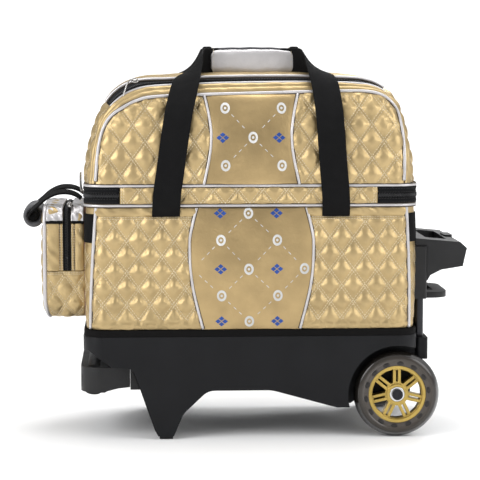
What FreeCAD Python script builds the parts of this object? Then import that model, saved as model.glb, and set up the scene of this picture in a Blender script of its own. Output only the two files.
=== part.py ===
"""Two-ball roller bag: wheeled plastic base, quilted ball compartment, hinged shoe lid and its handles.

Frame: X along the bag, wheels towards +X; Y from the front face to the back; Z up from the floor.
The origin lies on the floor under the middle of the overall length. Lengths are in millimetres.
"""
import FreeCAD, Part
import math
import os

import Sketcher
from FreeCAD import Placement, Rotation, Vector

SIZES = [
    # The middle of the bag body, measured from the middle of the overall length.
    ("bag_centre", 6.5),
    # Bag body, as half sizes about its own middle.
    ("body_half_length", 240),
    ("body_half_depth", 133),
    ("body_corner", 28),
    ("fabric_wall", 8),
    ("slack", 0.5),
    # Heights of the stack, from the floor up.
    ("sole_height", 5),
    ("belly_height", 72),
    ("tub_top", 152),
    ("trim_top", 162),
    ("shell_top", 344),
    ("zip_low", 345),
    ("zip_line", 359),
    ("zip_high", 373),
    ("lid_waist", 441),
    ("lid_shoulder", 494),
    ("lid_brow", 515),
    ("lid_top", 530),
    # Plastic tub.
    ("tub_half_length", 246),
    ("tub_half_depth", 134),
    ("tub_wall", 8),
    ("tub_floor", 84),
    ("ball_step", 113),
    ("end_step", 132),
    ("leg_width", 62),
    ("well_radius", 73),
    ("well_depth", 36),
    # Wheels: five-inch roller wheels on 608 bearings.
    ("wheel_place", 215.6),
    ("wheel_radius", 63.5),
    ("wheel_middle", 117),
    ("tyre_width", 30),
    ("hub_radius", 42.5),
    ("hub_width", 24),
    ("rim_inner", 37.5),
    ("boss_radius", 15),
    ("bearing_outer", 11),
    ("bearing_bore", 4.05),
    ("bearing_width", 7),
    ("axle_radius", 4),
    ("spoke_count", 7),
    # Pull-out handle: oval tubes, each stage smaller than the one around it.
    ("tube_place", 252),
    ("tube_spread", 80),
    ("tube_thick", 15),
    ("tube_wide", 26),
    ("tube_step", 2),
    ("tube_wall", 0.9),
    ("tube_low", 114),
    ("tube_high", 279),
    # Webbing and grips.
    ("webbing_width", 40),
    ("webbing_thick", 3),
    ("grip_length", 124),
    # Accessory pocket on the left end.
    ("pocket_out", 302),
    ("pocket_half_depth", 90),
    ("pocket_low", 176),
    ("pocket_seam", 245),
    ("pocket_high", 338),
    ("side_grip_out", 319.5),
    ("side_grip_height", 324),
    ("side_grip_radius", 15.5),
    # Bowling ball that the compartment is made for.
    ("ball_radius", 108),
    ("ball_place", 117),
    ("ball_low", 108),
]

doc = FreeCAD.newDocument("RollerBag")
dim = doc.addObject("Spreadsheet::Sheet", "Dim")
for row, (alias, value) in enumerate(SIZES, start=1):
    dim.set(f"A{row}", alias)
    dim.set(f"B{row}", str(value))
    dim.setAlias(f"B{row}", alias)
scratch = doc.addObject("Spreadsheet::Sheet", "Scratch")
doc.recompute()

pieces = []


def size(alias):
    """The number in the sheet's cell of that name."""
    return float(dim.get(alias))


def full(formula):
    """A formula of bare cell names with the sheet's name put before each of them."""
    words = []
    for word in formula.replace("(", "( ").replace(")", " )").split():
        words.append(f"Dim.{word}" if word[0].isalpha() else word)
    return " ".join(words)


def bind(thing, name, formula):
    """Bind one property to a formula of sheet cells."""
    thing.setExpression(name, full(formula))


def worth(formula):
    """The present value of a formula, so that a sketch is first drawn where its constraints hold it."""
    scratch.set("A1", "=" + full(formula))
    scratch.recompute()
    return float(scratch.get("A1"))


def place(thing, across="0", deep="0", up="0"):
    """Register a finished piece and place it, measured from the middle of the bag body."""
    bind(thing, ".Placement.Base.x", f"bag_centre + {across}")
    bind(thing, ".Placement.Base.y", deep)
    bind(thing, ".Placement.Base.z", up)
    pieces.append(thing)
    return thing


# ---------------------------------------------------------------- PartDesign helpers


def body(label):
    made = doc.addObject("PartDesign::Body", label)
    made.Label = label
    return made


def sketch(owner, plane, offset="0"):
    """An empty sketch on one of the body's own origin planes, moved along its normal."""
    made = owner.newObject("Sketcher::SketchObject", "Outline")
    origin_plane = next(f for f in owner.Origin.OriginFeatures if f.Role == plane)
    made.AttachmentSupport = [(origin_plane, "")]
    made.MapMode = "FlatFace"
    bind(made, ".AttachmentOffset.Base.z", offset)
    return made


def pin(made, kind, shape, point, formula):
    """Hold one point of the sketch at a bound distance from the sketch's origin."""
    number = made.addConstraint(Sketcher.Constraint(kind, -1, 1, shape, point, worth(formula)))
    bind(made, f"Constraints[{number}]", formula)


def polygon(owner, plane, corners, offset="0"):
    """A closed outline of straight lines; each corner is a pair of formulas."""
    made = sketch(owner, plane, offset)
    count = len(corners)
    start = [Vector(worth(across), worth(up), 0) for across, up in corners]
    for k in range(count):
        made.addGeometry(Part.LineSegment(start[k], start[(k + 1) % count]), False)
    for k in range(count):
        made.addConstraint(Sketcher.Constraint("Coincident", k, 2, (k + 1) % count, 1))
    for k, (across, up) in enumerate(corners):
        pin(made, "DistanceX", k, 1, across)
        pin(made, "DistanceY", k, 1, up)
    return made


def rounded(owner, plane, low, high, radius, offset="0"):
    """A rectangle with round corners, from its low corner to its high corner."""
    made = sketch(owner, plane, offset)
    add_rounded(made, low, high, radius)
    return made


def add_rounded(made, low, high, radius):
    """Draw one more round-cornered rectangle in a sketch."""
    base = made.GeometryCount
    left, bottom = worth(low[0]), worth(low[1])
    right, top = worth(high[0]), worth(high[1])
    turn = worth(radius)
    corners = [(right, bottom, -1, 1), (right, top, -1, -1), (left, top, 1, -1), (left, bottom, 1, 1)]
    middles = [Vector(x + turn * to_x, y + turn * to_y, 0) for x, y, to_x, to_y in corners]
    for k in range(4):
        away = Vector(math.sin(math.pi / 2 * k), -math.cos(math.pi / 2 * k), 0) * turn
        made.addGeometry(Part.LineSegment(middles[k - 1] + away, middles[k] + away), False)
        begin = math.pi / 2 * (k - 1)
        circle = Part.Circle(middles[k], Vector(0, 0, 1), turn)
        made.addGeometry(Part.ArcOfCircle(circle, begin, begin + math.pi / 2), False)
    for k in range(4):
        line, arc = base + 2 * k, base + 2 * k + 1
        made.addConstraint(Sketcher.Constraint("Tangent", line, 2, arc, 1))
        made.addConstraint(Sketcher.Constraint("Tangent", arc, 2, base + (2 * k + 2) % 8, 1))
        made.addConstraint(Sketcher.Constraint("Vertical" if k % 2 else "Horizontal", line))
        number = made.addConstraint(Sketcher.Constraint("Radius", arc, turn))
        bind(made, f"Constraints[{number}]", radius)
    pin(made, "DistanceY", base, 1, low[1])
    pin(made, "DistanceX", base + 2, 1, high[0])
    pin(made, "DistanceY", base + 4, 1, high[1])
    pin(made, "DistanceX", base + 6, 1, low[0])


def circles(owner, plane, radii, across="0", up="0", offset="0"):
    """Circles round one middle."""
    made = sketch(owner, plane, offset)
    middle = Vector(worth(across), worth(up), 0)
    for k, radius in enumerate(radii):
        made.addGeometry(Part.Circle(middle, Vector(0, 0, 1), worth(radius)), False)
        number = made.addConstraint(Sketcher.Constraint("Radius", k, worth(radius)))
        bind(made, f"Constraints[{number}]", radius)
        pin(made, "DistanceX", k, 3, across)
        pin(made, "DistanceY", k, 3, up)
    return made


def pad(owner, outline, length, both_ways=False, backwards=False):
    made = owner.newObject("PartDesign::Pad", "Pad")
    made.Profile = outline
    bind(made, "Length", length)
    made.SideType = "Symmetric" if both_ways else "One side"
    made.Reversed = backwards
    outline.Visibility = False
    return made


def pocket(owner, outline, length=None, both_ways=False, backwards=False):
    """Cut an outline out, by a bound length or right through, and check that it did cut."""
    doc.recompute()
    before = owner.Tip.Shape.Volume
    made = owner.newObject("PartDesign::Pocket", "Pocket")
    made.Profile = outline
    made.SideType = "Symmetric" if both_ways else "One side"
    if length is None:
        made.Type = "ThroughAll"
    else:
        bind(made, "Length", length)
    made.Reversed = backwards
    doc.recompute()
    if made.Shape.Volume >= before - 1e-6:
        raise ValueError(f"a pocket of {owner.Label} cuts nothing")
    return made


def loft(owner, outlines, cut=False):
    kind = "PartDesign::SubtractiveLoft" if cut else "PartDesign::AdditiveLoft"
    made = owner.newObject(kind, "Loft")
    made.Profile = outlines[0]
    made.Sections = outlines[1:]
    return made


def mirror(owner, feature, plane="XZ_Plane"):
    made = owner.newObject("PartDesign::Mirrored", "Mirror")
    made.Originals = [feature]
    made.MirrorPlane = (next(f for f in owner.Origin.OriginFeatures if f.Role == plane), [""])
    owner.Tip = made
    return made


def around(owner, feature, axis, count):
    made = owner.newObject("PartDesign::PolarPattern", "Around")
    made.Originals = [feature]
    made.Axis = (next(f for f in owner.Origin.OriginFeatures if f.Role == axis), [""])
    made.Angle = 360
    bind(made, "Occurrences", count)
    owner.Tip = made
    return made


def round_edges(owner, radius, wanted):
    """Fillet the edges of the body's present shape that a test picks out."""
    doc.recompute()
    base = owner.Tip
    names = [f"Edge{k}" for k, edge in enumerate(base.Shape.Edges, start=1) if wanted(edge)]
    made = owner.newObject("PartDesign::Fillet", "Round")
    made.Base = (base, names)
    bind(made, "Radius", radius)
    doc.recompute()
    if not names or "Invalid" in made.State:
        raise ValueError(f"a fillet of {radius} on {owner.Label} fails at {names}")
    return made


def runs_along(edge, axis):
    """True for a straight edge along the axis."""
    if edge.Curve.TypeId != "Part::GeomLine":
        return False
    way = edge.Vertexes[-1].Point - edge.Vertexes[0].Point
    return abs(abs(way.normalize().dot(axis)) - 1) < 1e-6


def passes(edge, across, up, reach=1.5):
    """True for an edge whose middle lies at that place in the X-Z view."""
    middle = edge.CenterOfMass
    return abs(middle.x - across) < reach and abs(middle.z - up) < reach


# ---------------------------------------------------------------- Part helpers


def group(label, members):
    """Several separate solids in one node."""
    made = doc.addObject("Part::Compound", label)
    made.Label = label
    made.Links = members
    return made


def cylinder(radius, length, across="0", deep="0", up="0", turn=None):
    made = doc.addObject("Part::Cylinder", "Round")
    bind(made, "Radius", radius)
    bind(made, "Height", length)
    bind(made, ".Placement.Base.x", across)
    bind(made, ".Placement.Base.y", deep)
    bind(made, ".Placement.Base.z", up)
    if turn:
        made.Placement.Rotation = turn
    return made


def block(length, depth, height, across="0", deep="0", up="0"):
    made = doc.addObject("Part::Box", "Block")
    bind(made, "Length", length)
    bind(made, "Width", depth)
    bind(made, "Height", height)
    bind(made, ".Placement.Base.x", across)
    bind(made, ".Placement.Base.y", deep)
    bind(made, ".Placement.Base.z", up)
    return made


def less(label, whole, tool):
    made = doc.addObject("Part::Cut", label)
    made.Label = label
    made.Base = whole
    made.Tool = tool
    return made


def in_bag(label, shape):
    """A piece whose shape Part's own functions made, placed from the middle of the bag body."""
    made = doc.addObject("Part::Feature", label)
    made.Label = label
    made.Shape = shape
    made.Placement = Placement(Vector(size("bag_centre"), 0, 0), Rotation())
    pieces.append(made)
    return made


def ribbon(path, width, thick):
    """Webbing along a path of (point, width direction) pairs, as one solid with straight stretches."""
    wires = []
    for k, (point, across) in enumerate(path):
        ahead = path[min(k + 1, len(path) - 1)][0] - path[max(k - 1, 0)][0]
        normal = ahead.cross(across).normalize() * (thick / 2)
        side = normal.cross(ahead).normalize() * (width / 2)
        corners = [side + normal, normal - side, -side - normal, side - normal, side + normal]
        wires.append(Part.makePolygon([point + corner for corner in corners]))
    return Part.makeLoft(wires, True, True)


# ---------------------------------------------------------------- base


def base_tub():
    """One moulding: belly, two legs, wheel wells and the three-step cradle for the balls."""
    tub = body("base_tub")
    low = ("0 - tub_half_length", "0 - tub_half_depth")
    high = ("tub_half_length", "tub_half_depth")
    plan = rounded(tub, "XY_Plane", low, high, "body_corner", "sole_height")
    pad(tub, plan, "tub_top - sole_height")
    doc.recompute()
    nose = [
        ("0 - tub_half_length - 20", "0"), ("0 - tub_half_length - 20", "tub_top - 20"),
        ("0 - tub_half_length + 8", "tub_top - 20"), ("-204", "107"), ("-174", "105.5"),
        ("-142", "14"), ("-134", "0"),
    ]
    pocket(tub, polygon(tub, "XZ_Plane", nose), both_ways=True)
    belly = [
        ("-116", "0"), ("-100", "38"), ("-64", "belly_height"), ("30", "belly_height"), ("126", "45.5"),
        ("150", "45.5"), ("156", "50"), ("238", "50"), ("242", "112"), ("300", "112"), ("300", "0"),
    ]
    pocket(tub, polygon(tub, "XZ_Plane", belly), both_ways=True)
    bends = [("26", (-64, 72)), ("12", (-174, 105.5)), ("60", (30, 72)), ("30", (-100, 38))]
    for radius, (across, up) in bends:
        deep_way = Vector(0, 1, 0)
        round_edges(tub, radius, lambda edge: runs_along(edge, deep_way) and passes(edge, across, up))
    well = circles(tub, "XZ_Plane", ["well_radius"], "wheel_place", "wheel_radius", "tub_half_depth")
    mirror(tub, pocket(tub, well, "well_depth"))
    low = ("-230", "leg_width - tub_half_depth")
    high = ("-50", "tub_half_depth - leg_width")
    gap = rounded(tub, "XY_Plane", low, high, "12", "0")
    pocket(tub, gap, "belly_height", backwards=True)
    steps = [
        ("-226", "134", "tub_half_depth - tub_wall", "tub_top - end_step"),
        ("-196", "134", "tub_half_depth - tub_wall", "tub_top - ball_step"),
        ("-158", "134", "tub_half_depth - tub_wall", "tub_top - tub_floor"),
        ("100", "230", "tub_half_depth - well_depth - tub_wall", "tub_top - tub_floor"),
    ]
    for left, right, half, depth in steps:
        step = rounded(tub, "XY_Plane", (left, f"0 - ( {half} )"), (right, half), "12", "tub_top")
        pocket(tub, step, depth)
    bore = circles(tub, "XZ_Plane", ["axle_radius + 0.05"], "wheel_place", "wheel_radius")
    pocket(tub, bore, both_ways=True)
    tube_notches(tub, "tub_top", "tub_top - tube_low + 3")
    return place(tub)


def tube_notches(owner, top, depth):
    """Room in the right end for the two outer tubes."""
    for side in ("0 - tube_spread", "tube_spread"):
        low = ("tube_place - tube_thick / 2 - slack", f"{side} - tube_wide / 2 - slack")
        high = ("tube_place + tube_thick", f"{side} + tube_wide / 2 + slack")
        doc.recompute()
        pocket(owner, rounded(owner, "XY_Plane", low, high, "4", top), depth)


def base_trim_band():
    """Edge band between the tub and the fabric."""
    band = body("base_trim_band")
    low = ("0 - tub_half_length + 1", "0 - tub_half_depth - 1")
    high = ("tub_half_length - 1", "tub_half_depth + 1")
    outline = rounded(band, "XY_Plane", low, high, "body_corner", "tub_top + slack")
    low = ("fabric_wall - body_half_length", "fabric_wall - body_half_depth")
    high = ("body_half_length - fabric_wall", "body_half_depth - fabric_wall")
    add_rounded(outline, low, high, "body_corner - fabric_wall")
    pad(band, outline, "trim_top - tub_top - slack")
    tube_notches(band, "trim_top", "trim_top - tub_top")
    return place(band)


def leg_soles():
    """Rubber sole under each leg."""
    near = block("20", "leg_width - 12", "sole_height", "-135", "6 - tub_half_depth")
    far = block("20", "leg_width - 12", "sole_height", "-135", "tub_half_depth - leg_width + 6")
    return place(group("leg_soles", [near, far]))


def lift_handle():
    """Handle under the left end, shaped like a C in plan, that lifts the bag into a car."""
    grip = body("base_lift_handle")
    plan = rounded(grip, "XY_Plane", ("-251", "-108"), ("-140", "108"), "30", "66")
    pad(grip, plan, "37")
    inside = [
        ("-212", "-76"), ("-178", "-76"), ("-178", "-120"), ("-130", "-120"),
        ("-130", "120"), ("-178", "120"), ("-178", "76"), ("-212", "76"),
    ]
    pocket(grip, polygon(grip, "XY_Plane", inside, "66"), "60", backwards=True)
    bar = rounded(grip, "XZ_Plane", ("-250", "60"), ("-213", "105"), "17")
    pad(grip, bar, "176", both_ways=True)
    undercut = [
        ("-226", "50"), ("-222", "62"), ("-212", "68"), ("-196", "72"),
        ("-178", "74"), ("-150", "74"), ("-150", "50"),
    ]
    pocket(grip, polygon(grip, "XZ_Plane", undercut), both_ways=True)
    return place(grip)


def lift_handle_brackets():
    """Blocks on the legs that the two arms end against."""
    blocks = []
    for low in ("-108", "76"):
        wedge = body("bracket")
        slope = [("-177.6", "70"), ("-163.4", "70"), ("-175.4", "102"), ("-177.6", "102")]
        pad(wedge, polygon(wedge, "XZ_Plane", slope, f"0 - ( {low} )"), "32", backwards=True)
        blocks.append(wedge)
    return place(group("lift_handle_brackets", blocks))


def ball_cups():
    """Foam cup under each ball, with a hollow of the ball's own radius."""
    for label, side in (("foam_cup_left", "0 - ball_place"), ("foam_cup_right", "ball_place")):
        puck = cylinder("40", "ball_low - tub_floor + 12", side, "0", "tub_floor + slack")
        ball = doc.addObject("Part::Sphere", "Ball")
        bind(ball, "Radius", "ball_radius")
        bind(ball, ".Placement.Base.x", side)
        bind(ball, ".Placement.Base.z", "ball_low + ball_radius")
        place(less(label, puck, ball))


# ---------------------------------------------------------------- wheels


def wheel(side, deep):
    """Tyre, spoked hub and its two bearings, all about one axis along Y."""
    tyre = body(f"{side}_wheel_tyre")
    half = "tyre_width / 2"
    profile = [
        ("hub_radius + 0.05", "0 - hub_width / 2"), ("hub_radius + 5", f"0 - {half}"),
        ("wheel_radius - 8", f"0 - {half}"), ("wheel_radius - 2", f"0 - {half} + 6"),
        ("wheel_radius", "0 - 4"), ("wheel_radius", "4"), ("wheel_radius - 2", f"{half} - 6"),
        ("wheel_radius - 8", half), ("hub_radius + 5", half), ("hub_radius + 0.05", "hub_width / 2"),
    ]
    turned = tyre.newObject("PartDesign::Revolution", "Turned")
    turned.Profile = polygon(tyre, "XY_Plane", profile)
    turned.ReferenceAxis = (next(f for f in tyre.Origin.OriginFeatures if f.Role == "Y_Axis"), [""])
    turned.Angle = 360
    place(tyre, "wheel_place", deep, "wheel_radius")

    hub = body(f"{side}_wheel_hub")
    pad(hub, circles(hub, "XZ_Plane", ["hub_radius", "8"]), "hub_width", both_ways=True)
    doc.recompute()
    dish = circles(hub, "XZ_Plane", ["rim_inner", "boss_radius"], offset="hub_width / 2")
    mirror(hub, pocket(hub, dish, "4"))
    seat = circles(hub, "XZ_Plane", ["bearing_outer"], offset="hub_width / 2")
    mirror(hub, pocket(hub, seat, "bearing_width"))
    slot = rounded(hub, "XZ_Plane", ("-1.4", "boss_radius + 3"), ("1.4", "rim_inner - 2"), "1.3")
    around(hub, pocket(hub, slot, both_ways=True), "Y_Axis", "spoke_count")
    # The window between two spokes, as half angles at its inner and its outer radius.
    turn = math.pi / size("spoke_count")
    fan = []
    for radius, spread in ((17.5, turn - 0.34), (36.5, turn - 0.16)):
        fan.append([(radius * math.sin(turn + s), radius * math.cos(turn + s)) for s in (-spread, 0, spread)])
    corners = fan[0] + fan[1][::-1]
    window = polygon(hub, "XZ_Plane", [(f"{x:.2f}", f"{z:.2f}") for x, z in corners])
    around(hub, pocket(hub, window, both_ways=True), "Y_Axis", "spoke_count")
    place(hub, "wheel_place", deep, "wheel_radius")

    rings = []
    for low in ("0 - hub_width / 2", "hub_width / 2 - bearing_width"):
        ring = body(f"{side}_bearing")
        outline = circles(ring, "XZ_Plane", ["bearing_outer - 0.02", "bearing_bore"], offset=f"0 - ( {low} )")
        pad(ring, outline, "bearing_width", backwards=True)
        rings.append(ring)
    place(group(f"{side}_wheel_bearings", rings), "wheel_place", deep, "wheel_radius")


def axle():
    """Steel axle right through the tub, with a bolt head and a spacer at each end."""
    lie = Rotation(Vector(1, 0, 0), -90)
    rod = cylinder("axle_radius", "2 * ( wheel_middle + 12 )", "0", "0 - wheel_middle - 12", "0", lie)
    rod.Label = "wheel_axle"
    place(rod, "wheel_place", "0 - wheel_middle - 12", "wheel_radius")
    heads = []
    spacers = []
    for low in ("0 - wheel_middle - 17", "wheel_middle + 12.2"):
        heads.append(cylinder("8", "4.8", "0", low, "0", lie))
    for low in ("0 - wheel_middle + 12.3", "wheel_middle - 18.8"):
        outer = cylinder("6.5", "6.5", "0", low, "0", lie)
        inner = cylinder("axle_radius + 0.02", "6.5", "0", low, "0", lie)
        spacers.append(less("spacer", outer, inner))
    place(group("axle_bolt_heads", heads), "wheel_place", "0", "wheel_radius")
    place(group("axle_spacers", spacers), "wheel_place", "0", "wheel_radius")


# ---------------------------------------------------------------- pull-out handle


def oval_pair(label, stage, low, high):
    """The near and far tube of one stage; every stage is one step smaller than the stage around it."""
    tubes = []
    for side in ("0 - tube_spread", "tube_spread"):
        tube = body("tube")
        outline = sketch(tube, "XY_Plane", low)
        for inward in ("0", "tube_wall"):
            thick = f"tube_thick / 2 - {stage} * tube_step / 2 - {inward}"
            wide = f"tube_wide / 2 - {stage} * tube_step / 2 - {inward}"
            corner = (f"0 - ( {thick} )", f"{side} - ( {wide} )")
            add_rounded(outline, corner, (thick, f"{side} + {wide}"), f"{thick} - 0.2")
        pad(tube, outline, f"{high} - ( {low} )")
        tubes.append(tube)
    return place(group(label, tubes), "tube_place")


def tube_holes(owner, top, depth=None):
    """Oval holes that the two outer tubes stand in."""
    doc.recompute()
    for side in ("0 - tube_spread", "tube_spread"):
        low = ("tube_place - tube_thick / 2 - 0.05", f"{side} - tube_wide / 2 - 0.05")
        high = ("tube_place + tube_thick / 2 + 0.05", f"{side} + tube_wide / 2 + 0.05")
        hole = rounded(owner, "XY_Plane", low, high, "tube_thick / 2 - 0.2", top)
        pocket(owner, hole, depth, backwards=depth is None)


def tube_foot():
    """Block on the tub's right end that holds the feet of the outer tubes."""
    foot = body("tube_foot_block")
    outline = rounded(foot, "XY_Plane", ("body_half_length + 7", "-104"), ("264.5", "104"), "5", "112")
    pad(foot, outline, "32")
    tube_holes(foot, "144", "144 - tube_low")
    return place(foot)


def tube_bezel():
    """Upper bracket that the tubes slide out of, with the ledge below it."""
    bezel = body("tube_bezel")
    plate = rounded(bezel, "XY_Plane", ("body_half_length + 1.2", "-104"), ("262", "104"), "3", "202")
    pad(bezel, plate, "tube_high + 1 - 202")
    ledge = rounded(bezel, "XY_Plane", ("body_half_length + 4", "-62"), ("301", "62"), "26", "198")
    pad(bezel, ledge, "9")
    doc.recompute()
    window = polygon(bezel, "XY_Plane", [("265", "-34"), ("282", "-34"), ("282", "34"), ("265", "34")], "198")
    pocket(bezel, window, "20", backwards=True)
    tube_holes(bezel, "202")
    return place(bezel)


def pull_head():
    """Moulded head: a bridge over the tubes, two cheeks that reach out, and the bar that the hand holds."""
    head = body("pull_head")
    cheek = [
        ("245", "tube_high + 2"), ("262.5", "tube_high + 2"), ("262.5", "228"), ("268", "237"), ("284", "245"),
        ("316", "250"), ("322", "277"), ("312", "286"), ("245", "292"),
    ]
    pad(head, polygon(head, "XZ_Plane", cheek), "200", both_ways=True)
    doc.recompute()
    fingers = rounded(head, "XY_Plane", ("265", "-66"), ("297", "66"), "8", "200")
    pocket(head, fingers, "120", backwards=True)
    under = polygon(head, "XZ_Plane", [("264", "200"), ("330", "200"), ("330", "258"), ("264", "258")])
    pocket(head, under, "132", both_ways=True)
    hole = rounded(head, "XY_Plane", ("300", "-22"), ("313", "22"), "3", "300")
    pocket(head, hole, "300 - 277")
    return place(head)


def release_button():
    button = body("pull_release_button")
    pad(button, rounded(button, "XY_Plane", ("300.4", "-21.6"), ("312.6", "21.6"), "2.8", "281"), "8.5")
    return place(button)


# ---------------------------------------------------------------- ball compartment


def ring_outline(owner, low, grow):
    """A ring in plan that follows the body, wider than it by the given amount and one fabric wall thick."""
    length = f"body_half_length + {grow}"
    depth = f"body_half_depth + {grow}"
    corner = f"body_corner + {grow}"
    outer_low = (f"0 - ( {length} )", f"0 - ( {depth} )")
    outline = rounded(owner, "XY_Plane", outer_low, (length, depth), corner, low)
    inner_low = (f"fabric_wall - ( {length} )", f"fabric_wall - ( {depth} )")
    inner_high = (f"{length} - fabric_wall", f"{depth} - fabric_wall")
    add_rounded(outline, inner_low, inner_high, f"{corner} - fabric_wall")
    return outline


def compartment_shell():
    shell = body("ball_compartment_shell")
    pad(shell, ring_outline(shell, "trim_top + slack", "0"), "shell_top - trim_top - slack")
    return place(shell)


def bay_divider():
    """Padded wall between the two balls."""
    wall = body("bay_divider")
    pad(wall, rounded(wall, "XY_Plane", ("-4", "-122"), ("4", "122"), "3.5", "155"), "165")
    return place(wall)


def end_strips():
    """Black strips at the top of the end panels."""
    left = block("1", "200", "42", "0 - body_half_length - 1.2", "-100", "290")
    right = block("0.8", "200", "42", "body_half_length + 0.2", "-100", "290")
    return place(group("end_strips", [left, right]))


def zip_tape(label, low, high):
    """One side of the main zip: it runs round the left end, the back and the right end."""
    tape = body(label)
    pad(tape, ring_outline(tape, low, "4"), f"{high} - {low}")
    doc.recompute()
    front = [("-196", "-150"), ("188", "-150"), ("188", "-120"), ("-196", "-120")]
    pocket(tape, polygon(tape, "XY_Plane", front, low), "40", backwards=True)
    return place(tape)


def hinge_band(label, low, high):
    """Half of the quilted band along the front that the lid folds on."""
    band = body(label)
    outline = rounded(band, "XZ_Plane", ("-195", low), ("187", high), "3", "131")
    pad(band, outline, "6")
    return place(band)


def zip_slider(side, deep):
    """Slider and its long wire pull, on the left end of the main zip."""
    slider = body(f"main_zip_slider_{side}")
    end = "0 - body_half_length"
    low = (f"{end} - 10", "zip_line - 5")
    high = (f"{end} - 4.6", "zip_line + 5")
    pad(slider, rounded(slider, "XZ_Plane", low, high, "1.5"), "10", both_ways=True)
    low = (f"{end} - 12.5", "zip_line - 3")
    high = (f"{end} - 9.5", "zip_line + 26")
    pad(slider, rounded(slider, "XZ_Plane", low, high, "1.2"), "6", both_ways=True)
    return place(slider, "0", deep)


# ---------------------------------------------------------------- lid

LID_SECTIONS = [
    ("zip_high", "243", "136", "30"),
    ("lid_waist", "233", "129", "32"),
    ("lid_shoulder", "215", "114", "34"),
    ("lid_brow", "199", "98", "34"),
    ("lid_top", "168", "62", "30"),
]


def lid_outline(owner, section, inward):
    """One level of the lid in plan, drawn in by the given amount."""
    up, half_length, half_depth, corner = section
    low = (f"{inward} - {half_length}", f"{inward} - {half_depth}")
    high = (f"{half_length} - {inward}", f"{half_depth} - {inward}")
    return rounded(owner, "XY_Plane", low, high, f"{corner} - {inward} / 2", up)


def lid_shell():
    """Shoe compartment: one padded shell that leans in towards the top."""
    lid = body("lid_shell")
    loft(lid, [lid_outline(lid, section, "0") for section in LID_SECTIONS])
    doc.recompute()
    loft(lid, [lid_outline(lid, section, "fabric_wall") for section in LID_SECTIONS[:4]], cut=True)
    return place(lid)


def lid_floor():
    """Board that separates the shoes from the balls."""
    board = body("lid_floor")
    pad(board, rounded(board, "XY_Plane", ("-230", "-124"), ("230", "124"), "24", "zip_high + 4"), "4")
    return place(board)


def shoe_zip():
    """Slider of the shoe compartment's zip, at the lid's upper left."""
    slider = block("14", "8", "5")
    slider.Label = "shoe_zip_slider"
    return place(slider, "-176", "-98", "lid_brow + 7")


# ---------------------------------------------------------------- webbing handles

# Centre line of one side of a carrying handle: across, out from the middle, up, and the turn of its width.
STRAP = [
    (124, 140.5, 331, 0),
    (121, 140.5, 378, 0),
    (114, 136.5, 430, 0),
    (107, 127, 482, 0),
    (98, 104, 522, 12),
    (86, 70, 545, 40),
]


def carry_handle(side, sign, bar_deep, bar_up):
    """Webbing loop, sewn to the body below the zip and drawn together in the hand bar."""
    halves = []
    for hand in (-1, 1):
        path = []
        for across, out, up, turn in STRAP:
            way = Vector(math.cos(math.radians(turn)), 0, -math.sin(math.radians(turn)))
            path.append((Vector(hand * across, sign * out, up), Vector(hand * way.x, 0, way.z)))
        path.append((Vector(hand * 66, bar_deep + sign * 12, bar_up), Vector(hand * 0.2, 0, -1)))
        path.append((Vector(hand * 40, bar_deep, bar_up), Vector(0, 0, -1)))
        halves.append(ribbon(path, size("webbing_width"), size("webbing_thick")))
    bar = Part.makeBox(84, size("webbing_thick"), size("webbing_width"))
    bar.translate(Vector(-42, bar_deep - size("webbing_thick") / 2, bar_up - size("webbing_width") / 2))
    in_bag(f"{side}_handle_webbing", halves[0].fuse(bar).fuse(halves[1]).removeSplitter())


def hand_grip(label, deep, up, half_thick, half_high):
    """Padded sleeve round the hand bar."""
    sleeve = body(label)
    low = (f"{deep} - {half_thick}", f"{up} - {half_high}")
    high = (f"{deep} + {half_thick}", f"{up} + {half_high}")
    outline = rounded(sleeve, "YZ_Plane", low, high, "10", "0 - grip_length / 2")
    low = (f"{deep} - webbing_thick", f"{up} - webbing_width / 2 - 1")
    high = (f"{deep} + webbing_thick", f"{up} + webbing_width / 2 + 1")
    add_rounded(outline, low, high, "2")
    pad(sleeve, outline, "grip_length")
    return place(sleeve, "7")


# ---------------------------------------------------------------- accessory pocket and side grip


def accessory_pocket():
    """Small pocket on the left end: a closed box below the seam, and above it a back and a front half."""
    outer = "0 - pocket_out"
    inner = "0 - body_half_length - 2.5"
    pocket_part("pocket_lower_box", (outer, "pocket_low"), (inner, "pocket_seam - 1"), "8")
    # The two upper halves meet in the zip, and are hollow towards each other.
    back_room = (("-270", "pocket_seam - 5"), ("-250", "pocket_high - 8"))
    pocket_part("pocket_back_half", ("-264", "pocket_seam"), (inner, "pocket_high"), "8", back_room)
    front_room = (("-296", "pocket_seam + 8"), ("-260", "pocket_high - 8"))
    pocket_part("pocket_front_half", (outer, "pocket_seam"), ("-265", "pocket_high - 1"), "12", front_room)


def pocket_part(label, low, high, corner, room=None):
    """One part of the accessory pocket, with or without a hollow."""
    made = body(label)
    pad(made, rounded(made, "XZ_Plane", low, high, corner), "2 * pocket_half_depth", both_ways=True)
    if room:
        (left, bottom), (right, top) = room
        doc.recompute()
        hollow = polygon(made, "XZ_Plane", [(left, bottom), (right, bottom), (right, top), (left, top)])
        pocket(made, hollow, "2 * ( pocket_half_depth - fabric_wall )", both_ways=True)
    return place(made)


def pocket_slider():
    """Slider of the pocket's zip, on the seam between its halves."""
    slider = block("7", "12", "4")
    slider.Label = "pocket_zip_slider"
    return place(slider, "-268", "4 - pocket_half_depth", "pocket_high + 0.6")


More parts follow.
